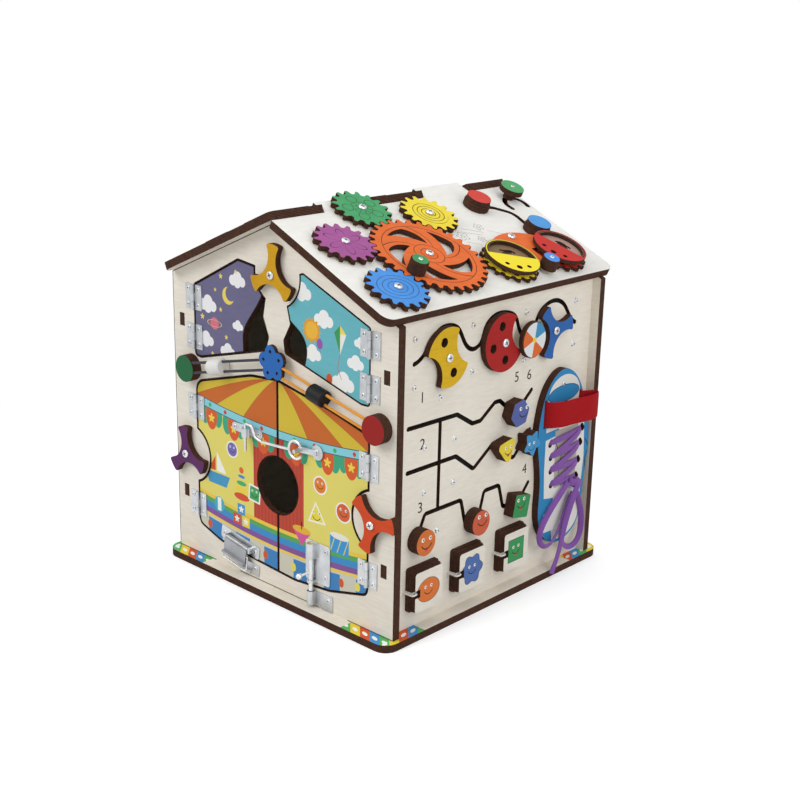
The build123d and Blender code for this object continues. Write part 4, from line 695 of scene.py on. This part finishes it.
ZINC, LEVER_ZINC = metal("zinc"), metal("lever_zinc", (0.40, 0.41, 0.43), 0.34, 0.6)
BRIGHT_ZINC = metal("bright_zinc", (0.80, 0.81, 0.83), 0.22, 0.3)
# the dark cross on the screw heads is painted shade, standing in for the hollow of the recess
RECESS_SHADE = plastic("screw_recess_shade", (0.03, 0.03, 0.032), 0.6)


def paint_piece(piece, *finishes):
    """Give a piece these finishes and no others."""
    piece.data.materials.clear()
    for finish in finishes:
        piece.data.materials.append(finish)


for node, finish in wooden.items():
    paint_piece(nodes[node], finish)
for finish, fittings in (
    (ZINC, ("wall_fittings", "upper_left_leaves", "upper_right_leaves", "lower_left_fittings", "lower_right_fittings")),
    (BRIGHT_ZINC, ("cabin_hook", "bolt_rod", "latch_bail", "screws")), (LEVER_ZINC, ("latch_lever",)),
):
    for node in fittings:
        paint_piece(nodes[node], finish)
for node, colour in (("white_bead", (0.80, 0.79, 0.76)), ("black_bead", (0.006, 0.006, 0.007))):
    paint_piece(nodes[node], plastic(node + "_gloss", colour, 0.45))


# --- making and placing pieces
def choose(*pieces):
    """Select these pieces only, the first of them active."""
    bpy.ops.object.select_all(action="DESELECT")
    for piece in pieces:
        piece.select_set(True)
    bpy.context.view_layer.objects.active = pieces[0]


def joined(pieces):
    """These pieces made into one."""
    choose(*pieces)
    if len(pieces) > 1:
        bpy.ops.object.join()
    return pieces[0]


def linked(name, data):
    """A new piece from a mesh or a curve."""
    made = bpy.data.objects.new(name, data)
    bpy.context.scene.collection.objects.link(made)
    return made


def turned_outward(mesh):
    """A new piece from a mesh, whose faces all look out."""
    piece = linked(mesh.name, mesh)
    choose(piece)
    bpy.ops.object.mode_set(mode="EDIT")
    bpy.ops.mesh.select_all(action="SELECT")
    bpy.ops.mesh.normals_make_consistent(inside=False)
    bpy.ops.object.mode_set(mode="OBJECT")
    return piece


def settle(piece, name, body, slot, *finishes):
    """Name a finished piece, give it its finish and hang it on its body."""
    piece.name = piece.data.name = name
    if finishes:
        paint_piece(piece, *finishes)
    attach(piece, body)
    return piece


def pick(piece, test):
    """In edit mode, select the faces whose centre and normal pass a test."""
    bpy.ops.object.mode_set(mode="EDIT")
    bpy.ops.mesh.select_mode(type="FACE")
    bpy.ops.mesh.select_all(action="DESELECT")
    bpy.ops.object.mode_set(mode="OBJECT")
    for face in piece.data.polygons:
        face.select = test(face.center, face.normal)
    bpy.ops.object.mode_set(mode="EDIT")


def screw_pattern(radius, height):
    """A domed screw head whose cross recess is drawn as a dark cross of painted shade for the hollow, standing on the
    origin.
    """
    radius, height = radius * MM, height * MM
    sunk, raised = 0.1 * MM, 0.14 * MM
    bpy.ops.object.select_all(action="DESELECT")
    bpy.ops.mesh.primitive_cylinder_add(vertices=20, radius=radius, depth=height, location=(0, 0, height / 2))
    bpy.ops.object.transform_apply()
    head = bpy.context.object
    pick(head, lambda centre, normal: normal.z > 0.9)
    bpy.ops.mesh.bevel(offset=height * 0.62, segments=3, affect="EDGES")
    bpy.ops.object.mode_set(mode="OBJECT")
    bpy.ops.mesh.primitive_grid_add(x_subdivisions=3, y_subdivisions=3, size=radius * 1.1, location=(0, 0, height - sunk))
    bpy.ops.object.transform_apply()
    cross = bpy.context.object
    pick(cross, lambda centre, normal: min(abs(centre.x), abs(centre.y)) > 0.15 * radius)
    bpy.ops.mesh.delete(type="FACE")
    bpy.ops.mesh.select_all(action="SELECT")
    bpy.ops.mesh.extrude_region_move(TRANSFORM_OT_translate={"value": (0, 0, raised)})
    bpy.ops.mesh.normals_make_consistent(inside=False)
    bpy.ops.object.mode_set(mode="OBJECT")
    for vertex in cross.data.vertices:
        for axis in (0, 1):
            if abs(vertex.co[axis]) < 0.3 * radius:
                vertex.co[axis] *= 0.62
    head.data.materials.append(BRIGHT_ZINC)
    # the cross gets the painted shade of the recess
    cross.data.materials.append(RECESS_SHADE)
    return joined([head, cross])


def scatter(name, body, slot, pattern, seats):
    """One piece made of a copy of the pattern at each seat."""
    copies = []
    for seat in seats:
        mesh = pattern.data.copy()
        mesh.transform(seat)
        copies.append(linked(name, mesh))
    piece = joined(copies)
    bpy.ops.object.shade_smooth_by_angle(angle=radians(35))
    return settle(piece, name, body, slot)


# --- dark lines along the cuts: the burn that the laser leaves, with painted shade for the dark gaps round the doors and openings
ON_FACE, LINE_INSET, LINE_TOP, LINE_FOOT = 0.05, 0.02, 0.06, -0.1
MERGED = 50000  # steps to a metre; corners that round to the same step count as one


def burnt_and_shaded_line(node, face, body, width):
    """A hair-thin dark closed strip just inside every outline of a node's outer face, coloured as laser burn and
    painted shade.
    """
    mesh, made = nodes[node].data, {}
    place = nodes[node].matrix_world
    points = [place @ vertex.co for vertex in mesh.vertices]
    merged = [tuple(round(c * MERGED) for c in point) for point in points]
    for polygon in mesh.polygons:
        off = abs((place @ polygon.center / MM - face.origin).dot(face.out))
        if off < ON_FACE and (place.to_3x3() @ polygon.normal).dot(face.out) > 0.99:
            ring = list(polygon.vertices)
            for a, b in zip(ring, ring[1:] + ring[:1]):
                if made.pop((merged[b], merged[a]), None) is None:
                    made[(merged[a], merged[b])] = (points[a], points[b])
    following = {a: (b, ends) for (a, b), ends in made.items()}
    corners, faces = [], []
    while following:
        start = at = next(iter(following))
        outline = []
        while at in following:
            at, ends = following.pop(at)
            outline.append(ends[0])
        if at != start or len(outline) < 4:
            continue
        first, count = len(corners), len(outline)
        for n, point in enumerate(outline):
            before, after = (point - outline[n - 1]).normalized(), (outline[(n + 1) % count] - point).normalized()
            lean = face.out.cross(before) + face.out.cross(after)
            lean = lean * (2.0 / max(lean.length_squared, 1.2))
            for inward, height in ((LINE_INSET, LINE_TOP), (width, LINE_TOP), (width, LINE_FOOT), (LINE_INSET, LINE_FOOT)):
                corners.append(point + (lean * inward + face.out * height) * MM)
        for n in range(count):
            a, b = first + 4 * n, first + 4 * ((n + 1) % count)
            faces += [(a + k, b + k, b + (k + 1) % 4, a + (k + 1) % 4) for k in range(4)]
    mesh = bpy.data.meshes.new(node + "_burnt_and_shaded_line")
    mesh.from_pydata([tuple(corner) for corner in corners], [], faces)
    settle(turned_outward(mesh), mesh.name, body, "white_ply", SCORCH_AND_SHADE)


# the strips' colour is partly the laser's burn and partly painted shade of the gaps along the cuts
line_dark_finish = Finish("scorched_and_shaded_line")
line_mottle = line_dark_finish.noise(240, 3)
SCORCH_AND_SHADE = line_dark_finish.end(line_dark_finish.mix((0.010, 0.005, 0.004), (0.040, 0.018, 0.012), line_mottle), line_mottle * 0.1 + 0.8, shine=0.1)
for node in ("upper_left_door", "upper_right_door", "lower_left_door", "lower_right_door"):
    burnt_and_shaded_line(node, FRONT, node, 0.9)
burnt_and_shaded_line("front_wall", FRONT, "house", 0.8)


# --- screws
small_screw, cap_screw = screw_pattern(2.3, 0.9), screw_pattern(4.3, 2.2)
UPPER, LOWER = (249.0, 290.0), (66.0, 173.5)
PIN_ACROSS, LEAF_REACH, LEAF_TOP = 125.5, 8.0, 0.95
LEFT_HAND, RIGHT_HAND = -1, 1


def leaf_seats(hand, heights, side):
    """Seats of the heads on hinge leaves: side is 1 on the wall and -1 on the door."""
    return [
        FRONT.seat(hand * (PIN_ACROSS + side * LEAF_REACH), height + dz, LEAF_TOP, 40 + 17 * n)
        for n, height in enumerate(heights) for dz in (-8.2, 8.2)
    ]


def plate_seats(*places):
    """Seats on the front, each given as (across, height, turn) or with another way off it."""
    return [FRONT.seat(x, z, off[0] if off else LEAF_TOP, turn) for x, z, turn, *off in places]


for name, body, seats in (
    ("left_wall_screws", "house", leaf_seats(LEFT_HAND, LOWER + UPPER, 1)),
    ("right_wall_screws", "house", leaf_seats(RIGHT_HAND, LOWER + UPPER, 1)),
    ("upper_left_door_screws", "upper_left_door", leaf_seats(LEFT_HAND, UPPER, -1)),
    ("upper_right_door_screws", "upper_right_door", leaf_seats(RIGHT_HAND, UPPER, -1)),
    ("lower_left_door_screws", "lower_left_door", leaf_seats(LEFT_HAND, LOWER, -1) + plate_seats(
        (-63.5, 167, 20), (-27, 167, 60), (-82.6, 45.4, 30), (-34.4, 37.7, 75))),
    ("lower_right_door_screws", "lower_right_door", leaf_seats(RIGHT_HAND, LOWER, -1) + plate_seats(
        (69.5, 70.5, 10), (69.5, 43, 50), (58, 170, 30, 1.95))),
    ("keeper_screws", "house", plate_seats((73.5, 20.0, 20), (-34.2, 19.4, 50, 1.15), (-58, 17.6, 80, 1.15))),
):
    scatter(name, body, "zinc", small_screw, seats)
SPINNER_TOP, GEAR_TOP, ROCKER_TOP = 7.62, 6.62, 7.02
pivots = [FRONT.seat(*at, SPINNER_TOP, 25) for at in TURNERS]
pivots += [SIDE.seat(*at, SPINNER_TOP, 35 * n) for n, at in enumerate(SPINNERS)]
pivots += [ROOF.seat(*at, GEAR_TOP, 25 * n) for n, at in enumerate((BIG_GEAR, *SMALL_GEARS.values()))]
pivots += [ROOF.seat(*ROCKER_PIVOT, ROCKER_TOP, 30)]
scatter("pivot_heads", "house", "zinc", cap_screw, pivots)
PANEL_SCREWS = (
    (-123.9, 293.8), (-43.5, 293), (37.5, 292.6), (118.5, 291.5), (-123.5, 248), (-43, 247.7), (37.2, 244.5),
    (118, 246), (-87.5, 231.4), (-65, 186), (-107, 187), (-65.3, 141.8), (-106.5, 141.8), (-86, 97.8),
)
panel_screw = screw_pattern(2.5, 0.9)
panel_seats = [SIDE.seat(*at, 0.9, 40 * n) for n, at in enumerate(PANEL_SCREWS)]
scatter("panel_screw_heads", "house", "zinc", panel_screw, panel_seats)
for name, body, seat in (
    ("crank_screw", "big_gear", ROOF.seat(*polar(BIG_GEAR, 45, -152), 20.45)),
    ("rocker_screw", "rocker", ROOF.seat(*ROCKER_KNOB, 16.85)),
    ("shoe_screw", "house", SIDE.seat(95.7, 209.4, 7.95, 20)),
    ("green_slider_screw", "green_puck", ROOF.seat(151, -33, 14.35, 20)),
):
    scatter(name, body, "zinc", small_screw, [seat])
for pattern in (small_screw, cap_screw, panel_screw):
    bpy.data.objects.remove(pattern)


# --- soft runs: elastics, strap, laces
def traced(kind, count, shape):
    """Points along a new spline of so many points, which shape() puts in their places."""
    curve = bpy.data.curves.new("route", "CURVE")
    curve.dimensions = "3D"
    spline = curve.splines.new(kind)
    (spline.bezier_points if kind == "BEZIER" else spline.points).add(count - 1)
    shape(spline)
    spline.resolution_u = 16
    holder = linked("route", curve)
    mesh = bpy.data.meshes.new_from_object(holder)
    line = [vertex.co.copy() for vertex in mesh.vertices]
    bpy.data.meshes.remove(mesh)
    bpy.data.objects.remove(holder)
    bpy.data.curves.remove(curve)
    return line


def smooth_line(points):
    """Points along the smooth line whose control points are given in millimetres."""
    def shape(spline):
        for point, place in zip(spline.points, points):
            point.co = (place[0] * MM, place[1] * MM, place[2] * MM, 1)
        spline.order_u = 3
        spline.use_endpoint_u = True

    return traced("NURBS", len(points), shape)


def even(line, step):
    """The same line with its points a step apart, in metres."""
    spaced, carry = [line[0]], 0.0
    for a, b in zip(line, line[1:]):
        length = (b - a).length
        at = step - carry
        while at <= length:
            spaced.append(a.lerp(b, at / length))
            at += step
        carry = length - (at - step)
    spaced.append(line[-1])
    return spaced


def length_of(line):
    return sum((b - a).length for a, b in zip(line, line[1:]))


def band(name, line, section, across, relief=None):
    """A closed strip swept along a line; section is its outline in (across, up) millimetres."""
    corners, uvs, faces = [], [], []
    around, run = len(section), 0.0
    girth = [0.0]
    for a, b in zip(section, section[1:] + section[:1]):
        girth.append(girth[-1] + hypot(b[0] - a[0], b[1] - a[1]))
    for i, point in enumerate(line):
        tangent = (line[min(i + 1, len(line) - 1)] - line[max(i - 1, 0)]).normalized()
        wide = across(i / (len(line) - 1), tangent)
        wide = (wide - tangent * wide.dot(tangent)).normalized()
        up = tangent.cross(wide)
        if i:
            run += (point - line[i - 1]).length / MM
        for k, (w, h) in enumerate(section):
            swell = relief(run, k / around) if relief else 1.0
            corners.append(point + (wide * w + up * h) * swell * MM)
        uvs.append(run)
    loops = []
    for i in range(len(line) - 1):
        for k in range(around):
            n = (k + 1) % around
            faces.append((i * around + k, (i + 1) * around + k, (i + 1) * around + n, i * around + n))
            loops += [(uvs[i], girth[k]), (uvs[i + 1], girth[k]), (uvs[i + 1], girth[k + 1]), (uvs[i], girth[k + 1])]
    for end, row in ((0, range(around)), (len(line) - 1, reversed(range(around)))):
        faces.append([end * around + k for k in row])
        loops += [(uvs[end], girth[k]) for k in range(around)]
    mesh = bpy.data.meshes.new(name)
    mesh.from_pydata([tuple(c) for c in corners], [], faces)
    layer = mesh.uv_layers.new(name="run")
    for loop, uv in zip(layer.data, loops):
        loop.uv = uv
    piece = turned_outward(mesh)
    bpy.ops.object.shade_smooth_by_angle(angle=radians(50))
    return piece


def oval(width, thick, count, square=1.0):
    """An oval section; a low square value makes it boxier."""
    outline = []
    for k in range(count):
        angle = 2 * pi * k / count
        outline.append(tuple(
            size / 2 * abs(c) ** square * (1 if c >= 0 else -1) for size, c in ((width, cos(angle)), (thick, sin(angle)))
        ))
    return outline


def cord_ribs(depth):
    """The ribs across a woven lace."""
    return lambda run_mm, turn: 1.0 + depth * sin(run_mm * 3.4)


LACE = woven("lace_weave", (0.30, 0.115, 0.46), (0.12, 0.035, 0.22), 0.9, ribs=0.6)
WEBBING = woven("strap_weave", (0.50, 0.010, 0.014), (0.26, 0.005, 0.007), 0.9, sheen=0.0, shine=0.15)
NAVY = woven("navy_elastic", (0.016, 0.020, 0.045), (0.004, 0.005, 0.012), 0.7, 0.6)
AMBER = woven("orange_elastic", (0.90, 0.40, 0.03), (0.70, 0.24, 0.01), 0.7, 0.6)
LACE_STEP = 0.0007

# elastics: two braided strands each way from the flower, each given with its lower spread first
STRAND_Y, STRAND_SPREAD = -164.0, 5.0
for start, end, finish, strand_names in (
    ((-131.0, 215.0), (-7.0, 244.8), NAVY, ("navy_elastic_lower", "navy_elastic_upper")),
    ((139.7, 214.5), (9.5, 243.0), AMBER, ("orange_elastic_upper", "orange_elastic_lower")),
):
    run = Vector((end[0] - start[0], 0, end[1] - start[1])).normalized()
    beside = Vector((-run.z, 0, run.x))
    for spread, name in zip((-STRAND_SPREAD, STRAND_SPREAD), strand_names):
        a = Vector((start[0], STRAND_Y, start[1])) - run * 7.9 + beside * spread
        b = Vector((end[0], STRAND_Y, end[1])) + beside * spread - run * 0.1
        strand = band(
            name, even([a * MM, b * MM], 0.0006), oval(3.0, 3.0, 12), lambda s, t: Vector((0, 1, 0)),
            relief=lambda run_mm, turn: 0.93 + 0.07 * cos(3 * 2 * pi * turn + run_mm * 2.6),
        )
        settle(strand, name, "house", "elastic", finish)
        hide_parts("elastics")

# strap over the toe, as (along the wall, off the wall)
STRAP_ROUTE = (
    (66.5, 2.0), (67.0, 9.5), (74.0, 16.5), (100.0, 22.0), (133.0, 24.5), (138.5, 20.0), (131.0, 12.5), (126.0, 9.0),
    (125.5, 2.0),
)
WALL, STRAP_HEIGHT = 150, 182


def strap_shape(spline):
    for knot, (y, off) in zip(spline.bezier_points, STRAP_ROUTE):
        knot.co = Vector((WALL + off, y, STRAP_HEIGHT)) * MM
        knot.handle_left_type = knot.handle_right_type = "AUTO"


strap_line = even(traced("BEZIER", len(STRAP_ROUTE), strap_shape), 0.001)
strap = band("shoe_strap_webbing", strap_line, oval(27.6, 1.6, 28, 0.45), lambda s, t: Vector((0, 0, 1)))
settle(strap, strap.name, "house", "webbing", WEBBING)
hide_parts("shoe_strap")
length_of(strap_line)

# lace crossings, each over and through the eyelets
EYELETS = ((79, 148), (81, 133), (82, 118), (84, 102), (133, 154), (131, 138), (129, 119), (127, 101))
OUT = Vector((1, 0, 0))


def flat_on_shoe(share, tangent):
    side = tangent.cross(OUT)
    return side if side.length > 0.3 else Vector((0, 0.3, 1))


crossings = []
for n, (start, end) in enumerate(((0, 4), (1, 4), (1, 5), (2, 5), (2, 6), (3, 6), (3, 7))):
    (y, z), (end_y, end_z) = EYELETS[start], EYELETS[end]
    rise = WALL + 10.3 + (1.3 if n % 2 else 0.0)
    shoulder = rise - 0.9
    route = [
        (x, y + (end_y - y) * share, z + (end_z - z) * share + lift) for x, share, lift in (
            (154, 0, 0), (157.5, 0.02, 0), (shoulder, 0.2, 0.8), (rise, 0.5, 0.6), (shoulder, 0.8, -0.5),
            (157.5, 0.98, 0), (154, 1, 0),
        )
    ]
    line = even(smooth_line(route), LACE_STEP)
    crossings.append(band(f"lace_crossing_{n}", line, oval(6.8, 1.5, 16, 0.7), flat_on_shoe, relief=cord_ribs(0.05)))
lacing = settle(joined(crossings), "lace_crossings", "house", "lace", LACE)

# knot: two wraps round a core, each given as (y, z, half length, lace width, lean)
wraps = []
for n, (y, z, half, wide, lean) in enumerate(((120, 96, 11.0, 8.0, -20), (121.5, 95.5, 5.0, 8.6, 70))):
    c, s = cos(radians(lean)), sin(radians(lean))
    loop = []
    for k in range(13):
        angle = 2 * pi * k / 12
        along, off = half * cos(angle), 4.0 * sin(angle)
        loop.append((WALL + 12.2 + off * 0.92, y + along * c, z + along * s))
    wraps.append(band(
        f"knot_wrap_{n}", even(smooth_line(loop), LACE_STEP), oval(wide, 1.8, 16, 0.7),
        lambda share, tangent, across=Vector((0, -s, c)): across, relief=cord_ribs(0.05),
    ))
knot = settle(joined(wraps), "lace_knot", "house", "lace", LACE)
for piece in (lacing, knot):
    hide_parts("shoe_lace")

# bow loops and the loose tail, as (off the wall, y, z)
LACE_ROUTES = {
    "lace_front_loop": (
        (12.8, 107.0, 99.3), (13.4, 90, 87), (14, 72.5, 73.5), (14, 59.5, 56.8), (14, 60.6, 44.4), (14, 70.2, 36.5),
        (14, 82.6, 37.6), (14, 94.5, 51.8), (13.4, 103, 70), (12.8, 114.2, 87.6),
    ),
    "lace_back_loop": (
        (11, 126, 82.5), (11, 138, 59.5), (11, 138, 32), (11, 128, 22), (11, 114, 22), (11, 104, 32), (11, 104, 58),
        (11, 118.5, 82.5),
    ),
    "lace_tail": ((17.6, 118, 95), (19, 107, 80), (19, 98.5, 62), (19, 93, 42), (19, 88, 23), (19.4, 77, 6)),
}
for node, route in LACE_ROUTES.items():
    line = even(smooth_line([(WALL + off, y, z) for off, y, z in route]), LACE_STEP)
    lace = band(
        node + "_weave", line, oval(6.2, 1.7, 16, 0.7),
        lambda s, t: Matrix.Rotation(radians(28) + 0.35 * sin(6 * s), 3, t) @ t.cross(OUT), relief=cord_ribs(0.06),
    )
    settle(lace, lace.name, "house", "lace", LACE)
    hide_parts(node)
    tuple(line[0])
    length_of(line)
    "bare" if node == "lace_tail" else "object"

# --- numbers beside the maze grooves
for figure, at in (
    ("1", (-112, 236)), ("2", (-110, 190.5)), ("3", (-111, 127.5)), ("4", (47, 126)), ("5", (27, 228)), ("6", (47, 226.5)),
):
    bpy.ops.object.text_add()
    text = bpy.context.object
    text.data.body, text.data.size, text.data.extrude = figure, 15 * MM, 0.08 * MM
    text.data.align_x, text.data.align_y, text.data.resolution_u = "CENTER", "CENTER", 6
    choose(text)
    bpy.ops.object.convert(target="MESH")
    text = bpy.context.object
    text.data.transform(SIDE.seat(*at, 0.06))
    ink = plastic("engraved_number_" + figure, (0.05, 0.035, 0.028), 0.8)
    settle(text, "number_" + figure, "house", "white_ply", ink)

# --- floor, sky and lamps
bpy.ops.mesh.primitive_grid_add(x_subdivisions=4, y_subdivisions=4, size=14.0, location=(0, 0, -0.0002))
floor = bpy.context.object
floor.name = "floor"
ground = Finish("pale_floor")
NEAR_REACH, FADE = 0.34, 0.42  # metres from the middle of the house
away = ground.node("ShaderNodeVectorMath", {"operation": "LENGTH"}, [ground.place], out=1)
away = ((away - NEAR_REACH) / FADE).at_least(0.0).at_most(1.0)
plain = ground.node("ShaderNodeBsdfDiffuse", values=[(0.62, 0.62, 0.62, 1)])
near = ground.node("ShaderNodeBsdfPrincipled", values={
    "Base Color": (0.90, 0.90, 0.90, 1), "Roughness": 0.9, "Emission Color": (1, 1, 1, 1), "Emission Strength": 0.3,
})
beyond = ground.node("ShaderNodeEmission", values=[(1, 1, 1, 1), 1.0])
pale = ground.node("ShaderNodeMixShader", values=[away, near, beyond])
ground.close(ground.node("ShaderNodeMixShader", values=[ground.seen_directly(), plain, pale]))
floor.data.materials.append(ground.material)

sky = Finish("studio", "worlds")
bpy.context.scene.world = sky.material
soft = sky.node("ShaderNodeBackground", values=[(0.96, 0.98, 1.0, 1), 0.55])
white = sky.node("ShaderNodeBackground", values=[(1, 1, 1, 1), 1.0])
sky.close(sky.node("ShaderNodeMixShader", values=[sky.seen_directly(), soft, white]), "ShaderNodeOutputWorld")

for name, place, size, watts in (
    ("key", (-0.7, -1.9, 1.7), 1.4, 27), ("fill", (2.0, -0.2, 1.1), 1.4, 15), ("top", (0.2, 0.3, 2.2), 1.8, 12),
):
    bpy.ops.object.light_add(type="AREA", location=place)
    lamp = bpy.context.object
    lamp.name, lamp.data.size, lamp.data.energy = name, size, watts
    lamp.rotation_euler = (Vector((0, 0, 0.2)) - Vector(place)).to_track_quat("-Z", "Y").to_euler()
